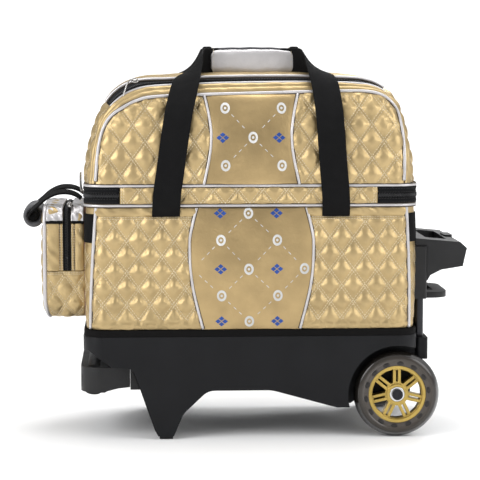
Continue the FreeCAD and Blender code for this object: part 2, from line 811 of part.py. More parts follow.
def side_grip():
    """Short handle on the left end: two straps and a bar inside a rubber sleeve."""
    straps = []
    deep_way = Vector(0, 1, 0)
    out = -size("side_grip_out")
    up = size("side_grip_height")
    for deep in (-60, 60):
        inside = deep * 0.95
        points = [
            (-249, deep, 350), (-262, deep, 358), (-285, inside, 358),
            (-305, inside, 346), (out, inside, up),
        ]
        path = [(Vector(*point), deep_way) for point in points]
        straps.append(ribbon(path, 20, size("webbing_thick")))
    bar = Part.makeCylinder(8, 134, Vector(out, -67, up), Vector(0, 1, 0))
    in_bag("side_grip_webbing", straps[0].fuse(bar).fuse(straps[1]).removeSplitter())
    sleeve = body("side_grip_sleeve")
    radii = ["side_grip_radius", "8.5"]
    outline = circles(sleeve, "XZ_Plane", radii, "0 - side_grip_out", "side_grip_height")
    pad(sleeve, outline, "92", both_ways=True)
    place(sleeve)


# ---------------------------------------------------------------- assembly

base_tub()
base_trim_band()
leg_soles()
lift_handle()
lift_handle_brackets()
ball_cups()
wheel("near", "0 - wheel_middle")
wheel("far", "wheel_middle")
axle()
tube_foot()
tube_bezel()
oval_pair("outer_tubes", "0", "tube_low", "tube_high")
for number in range(1, 4):
    oval_pair(f"pull_stage_{number}_tubes", str(number), f"tube_low + {2 * number}", "tube_high + slack")
oval_pair("pull_stage_4_tubes", "4", "tube_low + 8", "tube_high + 2")
pull_head()
release_button()
compartment_shell()
bay_divider()
end_strips()
zip_tape("main_zip_tape_lower", "zip_low", "( zip_line - slack )")
zip_tape("main_zip_tape_upper", "( zip_line + slack )", "( zip_high - slack )")
hinge_band("hinge_band_lower", "zip_low", "zip_line - slack")
hinge_band("hinge_band_upper", "zip_line + slack", "zip_high - slack")
zip_slider("near", "-7")
zip_slider("far", "7")
lid_shell()
lid_floor()
shoe_zip()
carry_handle("front", -1, -20, 552)
carry_handle("rear", 1, 26, 552)
hand_grip("front_grip_wrap", "-20", "552", "9", "22")
hand_grip("rear_grip_wrap", "26", "552", "8", "21")
accessory_pocket()
pocket_slider()
side_grip()

doc.removeObject(scratch.Name)
doc.recompute()
for item in doc.Objects:
    if "Invalid" in item.State or "Error" in item.State:
        raise ValueError(f"{item.Label} failed: {item.State}")
for piece in pieces:
    if piece.Shape.isNull() or not piece.Shape.isValid() or not piece.Shape.Solids:
        raise ValueError(f"{piece.Label} has no valid solid")

os.makedirs("parts", exist_ok=True)
for piece in pieces:
    piece.Shape.exportStep(f"parts/{piece.Label}.step")
print(len(pieces), "pieces")
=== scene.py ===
"""Looks of the two-ball roller bag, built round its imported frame.

Lengths here are millimetres, and X is measured from the middle of the bag body; build() turns both into the frame's metres.
"""
import bpy
import math

import numpy as np
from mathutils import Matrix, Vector
from mathutils.bvhtree import BVHTree


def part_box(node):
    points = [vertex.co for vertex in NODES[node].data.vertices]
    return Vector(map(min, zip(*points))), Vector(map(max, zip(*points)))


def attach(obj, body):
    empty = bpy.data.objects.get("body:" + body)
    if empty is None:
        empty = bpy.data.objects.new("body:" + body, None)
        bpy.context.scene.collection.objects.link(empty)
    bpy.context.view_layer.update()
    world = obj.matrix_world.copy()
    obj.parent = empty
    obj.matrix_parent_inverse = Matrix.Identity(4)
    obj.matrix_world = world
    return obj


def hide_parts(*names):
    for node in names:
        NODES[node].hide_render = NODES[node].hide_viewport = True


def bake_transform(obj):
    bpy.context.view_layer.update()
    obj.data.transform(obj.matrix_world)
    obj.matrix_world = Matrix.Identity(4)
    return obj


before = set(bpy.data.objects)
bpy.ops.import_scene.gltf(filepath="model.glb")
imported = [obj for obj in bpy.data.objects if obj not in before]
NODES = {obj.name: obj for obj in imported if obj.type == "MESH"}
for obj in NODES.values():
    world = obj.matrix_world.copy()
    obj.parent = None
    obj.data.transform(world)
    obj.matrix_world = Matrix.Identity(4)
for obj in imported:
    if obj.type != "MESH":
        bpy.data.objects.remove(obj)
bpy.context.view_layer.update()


def node_box(*names):
    """Lowest and highest corner of some CAD nodes, in millimetres of the frame."""
    lows, highs = zip(*(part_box(name) for name in names))
    return np.min(lows, axis=0) * 1000, np.max(highs, axis=0) * 1000


shell_low, shell_high = node_box("ball_compartment_shell")
tape_low, tape_high = node_box("main_zip_tape_lower", "main_zip_tape_upper")
lid_low, lid_high = node_box("lid_shell")
MIDDLE = (shell_low[0] + shell_high[0]) / 2
HALF_X = shell_high[0] - MIDDLE
HALF_Y = shell_high[1]
CORNER = 28
BODY_LOW, BODY_HIGH = shell_low[2], shell_high[2]
ZIP_LOW, ZIP_HIGH = tape_low[2], tape_high[2]
ZIP_LINE = (ZIP_LOW + ZIP_HIGH) / 2

# ---------------------------------------------------------------- numbers along a line


def smooth(x, xs, ys):
    """A soft curve through the given points, without overshoot (a monotone cubic)."""
    xs, ys = np.asarray(xs, float), np.asarray(ys, float)
    x = np.clip(np.asarray(x, float), xs[0], xs[-1])
    gaps = np.diff(xs)
    slopes = np.diff(ys) / gaps
    tangents = np.zeros_like(ys)
    tangents[0], tangents[-1] = slopes[0], slopes[-1]
    same_way = slopes[:-1] * slopes[1:] > 0
    means = 2 * slopes[:-1] * slopes[1:] / np.where(same_way, slopes[:-1] + slopes[1:], 1)
    tangents[1:-1] = np.where(same_way, means, 0)
    k = np.clip(np.searchsorted(xs, x) - 1, 0, len(xs) - 2)
    t = (x - xs[k]) / gaps[k]
    start = (1 + 2 * t) * (1 - t) ** 2 * ys[k] + t * (1 - t) ** 2 * gaps[k] * tangents[k]
    end = t * t * (3 - 2 * t) * ys[k + 1] + t * t * (t - 1) * gaps[k] * tangents[k + 1]
    return start + end


def fade(x, low, high):
    """0 below low, 1 above high, and a soft step between them."""
    t = np.clip((np.asarray(x, float) - low) / (high - low), 0, 1)
    return t * t * (3 - 2 * t)


def curve(points, step, closed=False):
    """Points at an even step along a Catmull-Rom curve through the given ones."""
    points = np.asarray(points, float)
    count = len(points)
    spans = count if closed else count - 1
    fine = []
    for k in range(spans):
        if closed:
            before, a, b, after = (points[(k + j) % count] for j in (-1, 0, 1, 2))
        else:
            before, a, b, after = (points[min(max(k + j, 0), count - 1)] for j in (-1, 0, 1, 2))
        t = np.linspace(0, 1, 24, endpoint=False)[:, None]
        fine.append(0.5 * (2 * a + (b - before) * t + (2 * before - 5 * a + 4 * b - after) * t**2
                           + (3 * a - before - 3 * b + after) * t**3))
    fine = np.vstack(fine + [points[:1] if closed else points[-1:]])
    return evenly(fine, step, closed)


def evenly(points, step, closed=False):
    """The same line with its points an even step apart."""
    points = np.asarray(points, float)
    run = np.concatenate([[0], np.cumsum(np.linalg.norm(np.diff(points, axis=0), axis=1))])
    count = max(2, int(round(run[-1] / step)) + 1)
    at = np.linspace(0, run[-1], count)
    if closed:
        at = at[:-1]
    return np.stack([np.interp(at, run, points[:, k]) for k in range(points.shape[1])], axis=1)


def unit(vectors):
    return vectors / np.maximum(np.linalg.norm(vectors, axis=-1, keepdims=True), 1e-9)


# ---------------------------------------------------------------- materials


class Finish:
    """A procedural material under construction."""

    def __init__(self, name, colour, rough=0.5, metal=0.0, **more):
        self.material = bpy.data.materials.new(name)
        self.material.use_nodes = True
        self.tree = self.material.node_tree
        self.shader = self.tree.nodes["Principled BSDF"]
        self.colour = tuple(colour)
        self.shader.inputs["Base Color"].default_value = (*colour, 1)
        self.shader.inputs["Roughness"].default_value = rough
        self.shader.inputs["Metallic"].default_value = metal
        for key, value in more.items():
            self.shader.inputs[key.replace("_", " ")].default_value = value
        self.material.diffuse_color = (*colour, 1)
        self.height = None

    def link(self, source, target):
        self.tree.links.new(source, target)

    def node(self, kind, **values):
        made = self.tree.nodes.new(kind)
        for key, value in values.items():
            if hasattr(made, key):
                setattr(made, key, value)
            else:
                made.inputs[key.replace("_", " ")].default_value = value
        return made

    def where(self, kind="Object", stretch=(1, 1, 1)):
        """Object or UV coordinates, stretched."""
        source = self.node("ShaderNodeTexCoord")
        mapping = self.node("ShaderNodeMapping")
        mapping.inputs["Scale"].default_value = stretch
        self.link(source.outputs[kind], mapping.inputs["Vector"])
        return mapping.outputs["Vector"]

    def noise(self, scale, detail=3, place=None, **values):
        made = self.node("ShaderNodeTexNoise", Scale=scale, Detail=detail, **values)
        self.link(place or self.where(), made.inputs["Vector"])
        return made.outputs["Fac"]

    def cells(self, scale, feature="DISTANCE_TO_EDGE", place=None):
        made = self.node("ShaderNodeTexVoronoi", feature=feature, Scale=scale)
        self.link(place or self.where(), made.inputs["Vector"])
        return made.outputs["Distance"]

    def maths(self, operation, a, b=0.0):
        made = self.node("ShaderNodeMath", operation=operation)
        for value, target in zip((a, b), made.inputs):
            if hasattr(value, "is_linked"):
                self.link(value, target)
            else:
                target.default_value = value
        return made.outputs[0]

    def bands(self, scale, direction="X", place=None, shape="SIN"):
        made = self.node("ShaderNodeTexWave", Scale=scale, bands_direction=direction, wave_profile=shape)
        self.link(place or self.where(), made.inputs["Vector"])
        return made.outputs["Fac"]

    def ramp(self, factor, low, high):
        made = self.node("ShaderNodeMapRange")
        self.link(factor, made.inputs["Value"])
        made.inputs["To Min"].default_value = low
        made.inputs["To Max"].default_value = high
        return made.outputs["Result"]

    def tint(self, factor, dark, light, start=0.3, end=0.7):
        """Base colour between two shades, along a factor."""
        made = self.node("ShaderNodeValToRGB")
        made.color_ramp.elements[0].position = start
        made.color_ramp.elements[1].position = end
        made.color_ramp.elements[0].color = (*(c * dark for c in self.colour), 1)
        made.color_ramp.elements[1].color = (*(min(1, c * light) for c in self.colour), 1)
        self.link(factor, made.inputs["Fac"])
        self.link(made.outputs["Color"], self.shader.inputs["Base Color"])
        return self

    def rough(self, factor, low, high):
        self.link(self.ramp(factor, low, high), self.shader.inputs["Roughness"])
        return self

    def bump(self, factor, depth, strength=1.0):
        """Adds one layer of relief; depth is in millimetres."""
        made = self.node("ShaderNodeBump", Strength=strength, Distance=depth / 1000)
        self.link(factor, made.inputs["Height"])
        if self.height:
            self.link(self.height, made.inputs["Normal"])
        self.height = made.outputs["Normal"]
        self.link(self.height, self.shader.inputs["Normal"])
        return self


def leather(name, colour, rough, metal, crease=0.5):
    """Coated fabric: fine grain, soft creases and a slightly uneven tone."""
    made = Finish(name, colour, rough, metal)
    soft = made.noise(28, 4)
    made.tint(soft, 0.86, 1.1)
    made.rough(made.noise(90, 3), rough - 0.07, rough + 0.1)
    made.bump(made.noise(150, 4, Distortion=0.6), crease)
    made.bump(made.cells(1100), 0.06, 0.5)
    return made.material


def weave(name, colour, pitch, rough=0.75, depth=0.35):
    """Woven narrow fabric, from UV coordinates in millimetres: U across, V along."""
    made = Finish(name, colour, rough, Specular_IOR_Level=0.15)
    place = made.where("UV", (1 / pitch, 1 / pitch, 1))
    across = made.bands(1.0 / math.pi * 2, "X", place)
    along = made.bands(1.0 / math.pi * 2, "Y", place)
    both = made.maths("MULTIPLY", across, along)
    made.tint(both, 0.3, 2.4, 0.0, 0.8)
    made.bump(along, depth)
    made.bump(across, depth * 0.5)
    made.rough(made.noise(60), rough - 0.08, rough + 0.1)
    return made.material


def moulded(name, colour, rough, grain=900, metal=0.0, depth=0.05, shine=0.3):
    """Moulded plastic or rubber with a fine eroded texture and slightly polished patches."""
    made = Finish(name, colour, rough, metal, Specular_IOR_Level=shine)
    made.tint(made.noise(22, 4), 0.85, 1.25)
    made.rough(made.noise(45, 5), rough - 0.08, rough + 0.1)
    made.bump(made.noise(grain, 2), depth, 0.7)
    return made.material


def metalled(name, colour, rough, brushed=260):
    made = Finish(name, colour, rough, 1.0)
    lines = made.noise(brushed, 4, made.where("Object", (1, 12, 1)))
    made.tint(lines, 0.85, 1.1)
    made.rough(lines, rough - 0.08, rough + 0.1)
    made.bump(lines, 0.02, 0.5)
    return made.material


def urethane(name):
    """Smoky see-through tyre, darker towards its tread; V of its UV is the radius in millimetres."""
    made = Finish(name, (0.05, 0.042, 0.035), 0.12, IOR=1.45, Transmission_Weight=0.1)
    split = made.node("ShaderNodeSeparateXYZ")
    made.link(made.where("UV"), split.inputs[0])
    outward = made.maths("DIVIDE", split.outputs["Y"], 64.0)
    made.tint(outward, 1.15, 0.22, 0.78, 0.94)
    made.rough(made.noise(140, 4), 0.1, 0.28)
    made.bump(made.noise(220, 3), 0.05, 0.4)
    return made.material


GOLD = (0.452, 0.338, 0.172)
FINISH = {
    "gold_leather": leather("gold_leather", GOLD, 0.46, 0.9, 0.5),
    "print_leather": leather("print_leather", (0.42, 0.305, 0.15), 0.38, 0.88, 0.35),
    "silver_leather": leather("silver_leather", (0.52, 0.505, 0.51), 0.36, 0.55, 0.25),
    "black_webbing": weave("black_webbing", (0.0045, 0.0045, 0.005), 2.4, 0.8, 0.6),
    "zip_fabric": weave("zip_fabric", (0.006, 0.0063, 0.0075), 0.9, 0.8, 0.2),
    "zip_coil": moulded("zip_coil", (0.03, 0.03, 0.032), 0.4, 700),
    "zip_metal": metalled("zip_metal", (0.36, 0.35, 0.34), 0.24),
    "thread": moulded("thread", (0.60, 0.52, 0.37), 0.55, 2500),
    "dark_thread": moulded("dark_thread", (0.03, 0.028, 0.028), 0.6, 2500),
    "print_grey": moulded("print_grey", (0.50, 0.50, 0.49), 0.45, 1500),
    "print_blue": moulded("print_blue", (0.015, 0.055, 0.24), 0.4, 1500),
    "base_plastic": moulded("base_plastic", (0.0046, 0.0048, 0.0058), 0.5, 1100, depth=0.06, shine=0.2),
    "handle_plastic": moulded("handle_plastic", (0.011, 0.011, 0.0115), 0.46, 1100, depth=0.06),
    "trim_rubber": moulded("trim_rubber", (0.0022, 0.002, 0.002), 0.75, 800, shine=0.12),
    "seam_shade": moulded("seam_shade", (0.05, 0.036, 0.022), 0.7, 800),
    "sole_rubber": moulded("sole_rubber", (0.015, 0.015, 0.015), 0.75, 500, depth=0.1),
    "grip_rubber": moulded("grip_rubber", (0.075, 0.075, 0.08), 0.62, 600, depth=0.12),
    "cup_foam": moulded("cup_foam", (0.05, 0.05, 0.055), 0.9, 420, depth=0.4),
    "board": moulded("board", (0.06, 0.06, 0.065), 0.85, 1400, depth=0.15),
    "lining": moulded("lining", (0.035, 0.035, 0.04), 0.8, 1300, depth=0.15),
    "tyre": urethane("tyre"),
    "tyre_lug": moulded("tyre_lug", (0.018, 0.016, 0.015), 0.25, 500),
    "hub_gold": moulded("hub_gold", (0.42, 0.30, 0.085), 0.3, 1400, 0.9, 0.02),
    "bearing_steel": metalled("bearing_steel", (0.62, 0.62, 0.62), 0.2),
    "dark_steel": metalled("dark_steel", (0.03, 0.03, 0.034), 0.3),
    "axle_steel": metalled("axle_steel", (0.45, 0.45, 0.46), 0.28),
    "tube_metal": metalled("tube_metal", (0.035, 0.035, 0.038), 0.32),
}

# ---------------------------------------------------------------- meshes


def build(name, points, faces, finish, body=None, uv=None, stands_for=()):
    """One mesh object from millimetre points; it rides on the body unless none is given."""
    mesh = bpy.data.meshes.new(name)
    places = (np.asarray(points, float) + (MIDDLE, 0, 0)) / 1000
    mesh.from_pydata(places.tolist(), [], [tuple(int(k) for k in face) for face in faces])
    if uv is not None:
        corner_of = np.zeros(len(mesh.loops), int)
        mesh.loops.foreach_get("vertex_index", corner_of)
        layer = mesh.uv_layers.new(name="Cloth")
        layer.data.foreach_set("uv", np.asarray(uv, float)[corner_of].ravel())
    mesh.shade_smooth()
    mesh.materials.append(FINISH[finish])
    thing = bpy.data.objects.new(name, mesh)
    bpy.context.scene.collection.objects.link(thing)
    if stands_for:
        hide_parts(*stands_for)
    if body:
        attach(thing, body)
    return thing


def tidy_faces(keys, faces):
    """Joins points with the same key and drops the faces that collapse: (kept point numbers, new faces)."""
    _, first, back = np.unique(keys, axis=0, return_index=True, return_inverse=True)
    back = back.ravel()
    kept = []
    for face in faces:
        ring = []
        for corner in back[list(face)]:
            if not ring or ring[-1] != corner:
                ring.append(int(corner))
        if len(ring) > 1 and ring[0] == ring[-1]:
            ring.pop()
        if len(ring) > 2 and len(set(ring)) == len(ring):
            kept.append(ring)
    return first, kept


def grid_faces(rows, columns, wrap_rows=False, wrap_columns=False):
    faces = []
    for j in range(rows if wrap_rows else rows - 1):
        for i in range(columns if wrap_columns else columns - 1):
            a, b = j * columns + i, j * columns + (i + 1) % columns
            c, d = ((j + 1) % rows) * columns + (i + 1) % columns, ((j + 1) % rows) * columns + i
            faces.append((a, b, c, d))
    return faces


def sheet(name, surface, us, vs, finish, body, out=0.0, stands_for=(), thick=0.0, relief=None):
    """A surface over a grid of u and v; relief gives extra height over (u, v)."""
    u, v = np.meshgrid(us, vs)
    height = out + (relief(u, v) if relief else 0)
    points = raised(surface, u, v, height).reshape(-1, 3)
    uv = np.stack([u.ravel(), v.ravel()], axis=1)
    thing = build(name, points, grid_faces(len(vs), len(us)), finish, body, uv, stands_for)
    if thick:
        thicken(thing, thick)
    return thing


def thicken(thing, thick):
    shell = thing.modifiers.new("Thickness", "SOLIDIFY")
    shell.thickness = thick / 1000
    shell.offset = -1
    return thing


def raised(surface, u, v, out):
    """Points on a surface, moved out along its normal."""
    here = surface(u, v)
    reach = 0.5
    along_u = surface(u + reach, v) - surface(u - reach, v)
    along_v = surface(u, v + reach) - surface(u, v - reach)
    normal = unit(np.cross(along_u, along_v))
    return here + normal * np.asarray(out)[..., None]


def frames(path, closed=False):
    """Tangent, side and up of every point of a path, without twist."""
    if closed:
        ahead = unit(np.roll(path, -1, axis=0) - np.roll(path, 1, axis=0))
    else:
        ahead = unit(np.gradient(path, axis=0))
    start = np.array([0, 0, 1.0]) if abs(ahead[0][2]) < 0.9 else np.array([0, 1.0, 0])
    sides = np.zeros_like(path)
    side = unit(np.cross(start, ahead[0]))
    for k in range(len(path)):
        side = unit(side - ahead[k] * (side @ ahead[k]))
        sides[k] = side
    return ahead, sides, np.cross(ahead, sides)


def cord(name, path, radius, finish, body, closed=False, segments=8, flat=1.0):
    """A round cord such as piping; flat squeezes it along its up direction."""
    path = np.asarray(path, float)
    _, side, up = frames(path, closed)
    turn = np.linspace(0, 2 * math.pi, segments, endpoint=False)
    ring = np.cos(turn)[None, :, None] * side[:, None, :] + flat * np.sin(turn)[None, :, None] * up[:, None, :]
    points = (path[:, None, :] + radius * ring).reshape(-1, 3)
    faces = grid_faces(len(path), segments, closed, True)
    if not closed:
        last = (len(path) - 1) * segments
        faces += [tuple(range(segments))[::-1], tuple(range(last, last + segments))]
    run = np.arange(len(path)) * 3.0
    uv = np.stack([np.tile(turn * radius, len(path)), np.repeat(run, segments)], axis=1)
    return build(name, points, faces, finish, body, uv)


def strap(name, path, across, width, thick, finish, body):
    """Flat webbing with soft edges along a path; across is its width direction at every point."""
    path, across = np.asarray(path, float), unit(np.asarray(across, float))
    ahead = unit(np.gradient(path, axis=0))
    normal = unit(np.cross(across, ahead))
    across = np.cross(ahead, normal)
    half, deep = np.broadcast_to(width, len(path))[:, None, None] / 2, thick / 2
    profile = [(-1, 0), (-0.97, -0.8), (-0.9, -1), (-0.45, -1), (0, -1), (0.45, -1), (0.9, -1), (0.97, -0.8), (1, 0)]
    profile += [(-a, -b) for a, b in profile[1:-1]]
    side = np.array([a for a, _ in profile])[None, :, None]
    lift = np.array([b for _, b in profile])[None, :, None]
    points = path[:, None, :] + half * side * across[:, None, :] + deep * lift * normal[:, None, :]
    count = len(profile)
    faces = grid_faces(len(path), count, False, True)
    last = (len(path) - 1) * count
    faces += [tuple(range(count))[::-1], tuple(range(last, last + count))]
    run = np.concatenate([[0], np.cumsum(np.linalg.norm(np.diff(path, axis=0), axis=1))])
    uv = np.stack([(half * side + np.zeros((len(path), 1, 1))).ravel(), np.repeat(run, count)], axis=1)
    return build(name, points.reshape(-1, 3), faces, finish, body, uv)


def grains(name, centres, ahead, normal, size, finish, body):
    """Many small pointed grains, used for stitches and zip teeth; size is (length, width, height)."""
    centres, ahead, normal = (np.asarray(a, float) for a in (centres, ahead, normal))
    if not len(centres):
        return None
    ahead, normal = unit(ahead), unit(normal)
    side = np.cross(normal, ahead)
    length, width, height = (s / 2 for s in size)
    corners = []
    for step, half in ((-1, 0.35), (-0.6, 1), (0.6, 1), (1, 0.35)):
        middle = centres + ahead * step * length
        corners += [middle + side * width * half, middle + normal * height * half,
                    middle - side * width * half, middle - normal * height * half]
    points = np.stack(corners, axis=1).reshape(-1, 3)
    local = [(k + j, k + (j + 1) % 4, k + 4 + (j + 1) % 4, k + 4 + j) for k in (0, 4, 8) for j in range(4)]
    local += [(3, 2, 1, 0), (12, 13, 14, 15)]
    faces = (np.arange(len(centres))[:, None, None] * 16 + np.array(local)[None]).reshape(-1, 4)
    return build(name, points, faces, finish, body)


def lathe(name, profile, middle, finish, body, segments=96, squeeze=(1, 1)):
    """A closed profile of (radius, height) turned round a line along Y; squeeze stretches it in X and Z."""
    turn = np.linspace(0, 2 * math.pi, segments, endpoint=False)
    profile = np.asarray(profile, float)
    radius, height = profile[None, :, 0], profile[None, :, 1]
    across, up = radius * np.cos(turn)[:, None], radius * np.sin(turn)[:, None]
    flat = height + np.zeros_like(across)
    points = np.stack([across * squeeze[0], flat, up * squeeze[1]], axis=-1).reshape(-1, 3) + middle
    uv = np.stack([(turn[:, None] * radius).ravel(), (radius + np.zeros_like(across)).ravel()], axis=1)
    faces = grid_faces(segments, len(profile), True, True)
    return build(name, points, [face[::-1] for face in faces], finish, body, uv)


def finished(thing):
    """Applies every modifier of an object to its mesh."""
    bpy.context.view_layer.update()
    seen = thing.evaluated_get(bpy.context.evaluated_depsgraph_get())
    mesh = bpy.data.meshes.new_from_object(seen)
    old = thing.data
    thing.modifiers.clear()
    thing.data = mesh
    mesh.name = old.name
    bpy.data.meshes.remove(old)
    return thing


def millimetres(thing):
    """The object's vertices as millimetres from the middle of the bag body."""
    places = np.zeros(len(thing.data.vertices) * 3)
    thing.data.vertices.foreach_get("co", places)
    return places.reshape(-1, 3) * 1000 - (MIDDLE, 0, 0)


def put_back(thing, points):
    places = (np.asarray(points) + (MIDDLE, 0, 0)) / 1000
    thing.data.vertices.foreach_set("co", places.ravel())
    thing.data.update()


# ---------------------------------------------------------------- padded panels


def swell(thing, held, pressure=2.4, slack=0.045, reach=7.0, frames_run=14):
    """Cloth simulation: the panel is held along its stitches and edges while its filling pushes it out."""
    scale = 10
    rest = np.zeros(len(thing.data.vertices) * 3)
    thing.data.vertices.foreach_get("co", rest)
    thing.data.vertices.foreach_set("co", rest * scale)
    group = thing.vertex_groups.new(name="held")
    group.add([int(k) for k in np.flatnonzero(held)], 1.0, "REPLACE")
    cloth = thing.modifiers.new("Padding", "CLOTH")
    rules = cloth.settings
    rules.quality = 5
    rules.mass = 0.15
    rules.vertex_group_mass = "held"
    rules.tension_stiffness = rules.compression_stiffness = 30
    rules.shear_stiffness = 12
    rules.bending_stiffness = 0.8
    rules.shrink_min = -slack
    rules.use_pressure = True
    rules.uniform_pressure_force = pressure
    rules.effector_weights.gravity = 0
    cloth.collision_settings.use_collision = False
    cloth.point_cache.frame_start, cloth.point_cache.frame_end = 1, frames_run
    scene = bpy.context.scene
    for number in range(1, frames_run + 1):
        scene.frame_set(number)
    seen = thing.evaluated_get(bpy.context.evaluated_depsgraph_get())
    moved = np.zeros(len(seen.data.vertices) * 3)
    seen.data.vertices.foreach_get("co", moved)
    thing.modifiers.clear()
    thing.vertex_groups.clear()
    step = (moved / scale - rest).reshape(-1, 3)
    length = np.linalg.norm(step, axis=1, keepdims=True) * 1000
    capped = step * (reach * np.tanh(length / reach) / np.maximum(length, 1e-6))
    thing.data.vertices.foreach_set("co", (rest.reshape(-1, 3) + capped).ravel())
    thing.data.update()
    scene.frame_set(1)


def stitch_rows(lines, pitch, spread=1.5):
    """Stitch places along (u, v) lines: two rows a little apart, or one when spread is 0."""
    places, ways = [], []
    for start, end in lines:
        start, end = np.asarray(start, float), np.asarray(end, float)
        length = np.linalg.norm(end - start)
        way = (end - start) / length
        across = np.array([-way[1], way[0]])
        at = np.arange(pitch / 2, length, pitch)
        for offset in ((-spread, spread) if spread else (0,)):
            places.append(start + at[:, None] * way + offset * across)
            ways.append(np.repeat(way[None], len(at), axis=0))
    return np.vstack(places), np.vstack(ways)


def sew(name, surface, cover, places, ways, body, finish="thread", size=(3.2, 0.8, 0.7), pitch_noise=0.0):
    """Stitches that lie on the cover's real surface at (u, v) places."""
    tree = BVHTree.FromPolygons([Vector(p) for p in millimetres(cover)], [tuple(f.vertices) for f in cover.data.polygons])
    u, v = places[:, 0], places[:, 1]
    above = raised(surface, u, v, np.full(len(u), 14.0))
    below = raised(surface, u, v, np.full(len(u), -4.0))
    tip = surface(u + ways[:, 0] * 0.5, v + ways[:, 1] * 0.5) - surface(u - ways[:, 0] * 0.5, v - ways[:, 1] * 0.5)
    centres, aheads, normals = [], [], []
    for k in range(len(u)):
        start, end = Vector(above[k]), Vector(below[k])
        hit, normal, _, _ = tree.ray_cast(start, (end - start).normalized(), 20)
        if hit is None:
            continue
        if normal.dot(end - start) > 0:
            normal = -normal
        ahead = Vector(tip[k])
        ahead = ahead - normal * ahead.dot(normal)
        centres.append(hit + normal * 0.15)
        aheads.append(ahead)
        normals.append(normal)
    return grains(name, centres, aheads, normals, size, finish, body)


def quilted(name, surface, left, right, low, high, cell, body, start=(0, 0), puff=4.7, margin=(0, 0), fine=8,
            stands_for=(), finish="gold_leather", stitched=True):
    """A padded panel between four seams, sewn in diamonds; the seams are functions of the other direction.

    cell is a diamond's width and height, start one of its corners, margin the plain strips at the bottom and the top.
    """
    step_u, step_v = cell[0] / 2 / fine, cell[1] / 2 / fine
    probe_v = np.linspace(low(np.array(0.0)), high(np.array(0.0)), 60)
    first_u, last_u = np.min(left(probe_v)), np.max(right(probe_v))
    probe_u = np.linspace(first_u, last_u, 60)
    first_v, last_v = np.min(low(probe_u)), np.max(high(probe_u))
    i = np.arange(math.floor((first_u - start[0]) / step_u), math.ceil((last_u - start[0]) / step_u) + 1)
    j = np.arange(math.floor((first_v - start[1]) / step_v), math.ceil((last_v - start[1]) / step_v) + 1)
    column, row = np.meshgrid(i, j)
    u, v = start[0] + column * step_u, start[1] + row * step_v
    v = np.clip(v, low(np.clip(u, first_u, last_u)), high(np.clip(u, first_u, last_u)))
    u = np.clip(u, left(v), right(v))
    v = np.clip(v, low(u), high(u))
    period = 2 * fine
    one, other = np.mod(column + row, period), np.mod(column - row, period)
    padded = (v > low(u) + margin[0]) & (v < high(u) - margin[1])
    ridge = ((one == 0) | (other == 0)) & padded
    on_line = (np.minimum(one, period - one) <= 1) | (np.minimum(other, period - other) <= 1)
    on_line &= padded
    edge = (u <= left(v) + 1e-6) | (u >= right(v) - 1e-6) | (v <= low(u) + 1e-6) | (v >= high(u) - 1e-6)
    wide = len(i)
    faces = []
    for y in range(len(j) - 1):
        for x in range(wide - 1):
            a, b, c, d = y * wide + x, y * wide + x + 1, (y + 1) * wide + x + 1, (y + 1) * wide + x
            if (i[x] - j[y]) % period == 0:
                faces += [(a, b, c), (a, c, d)]
            elif (i[x] + j[y] + 1) % period == 0:
                faces += [(a, b, d), (b, c, d)]
            else:
                faces.append((a, b, c, d))
    keys = np.round(np.stack([u.ravel(), v.ravel()], axis=1) / 0.25).astype(int)
    kept, faces = tidy_faces(keys, faces)
    u, v, ridge, on_line, edge = (a.ravel()[kept] for a in (u, v, ridge, on_line, edge))
    first = (u - start[0]) / cell[0] + (v - start[1]) / cell[1]
    second = (u - start[0]) / cell[0] - (v - start[1]) / cell[1]
    floor = math.sin(math.pi / period)
    slopes = [np.clip(np.abs(np.sin(math.pi * phase)) - floor, 0, 1) / (1 - floor) for phase in (first, second)]
    valley = (np.maximum(slopes[0], 0.001) ** -2 + np.maximum(slopes[1], 0.001) ** -2) ** -0.5 * 1.35
    valley = np.where(on_line, 0, np.minimum(valley, 1.0)) ** 0.85
    near_edge = np.minimum.reduce([u - left(v), right(v) - u, v - low(u), high(u) - v])
    plain = np.minimum(1, np.maximum(0, near_edge) / 7) ** 0.7
    in_margin = 1 - fade(v - low(u), margin[0] * 0.6, margin[0] + 0.1) * fade(high(u) - v, margin[1] * 0.6, margin[1] + 0.1)
    valley = valley * (1 - in_margin) + 0.5 * in_margin
    lift = puff * 0.85 * valley * plain
    held = on_line | edge
    height = np.where(edge, 0.2, np.where(ridge, 0.9, np.where(on_line, 0.1, 0.3 + lift)))
    points = raised(surface, u, v, height)
    thing = build(name, points, faces, finish, None, np.stack([u, v], axis=1), stands_for)
    swell(thing, held, reach=puff * 0.32)
    soft = thing.modifiers.new("Soft", "SUBSURF")
    soft.levels = soft.render_levels = 1
    finished(thing)
    if body:
        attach(thing, body)
    if stitched:
        lines = diamond_lines(first_u, last_u, first_v, last_v, cell, start)
        gap = step_u * math.sin(math.atan2(cell[1], cell[0]))
        places, ways = stitch_rows(lines, 4.3, gap)
        inside = (places[:, 0] > left(places[:, 1]) + 3) & (places[:, 0] < right(places[:, 1]) - 3)
        inside &= (places[:, 1] > low(places[:, 0]) + margin[0] + 2) & (places[:, 1] < high(places[:, 0]) - margin[1] - 2)
        sew(f"{name}_stitches", surface, thing, places[inside], ways[inside], body)
    return thing


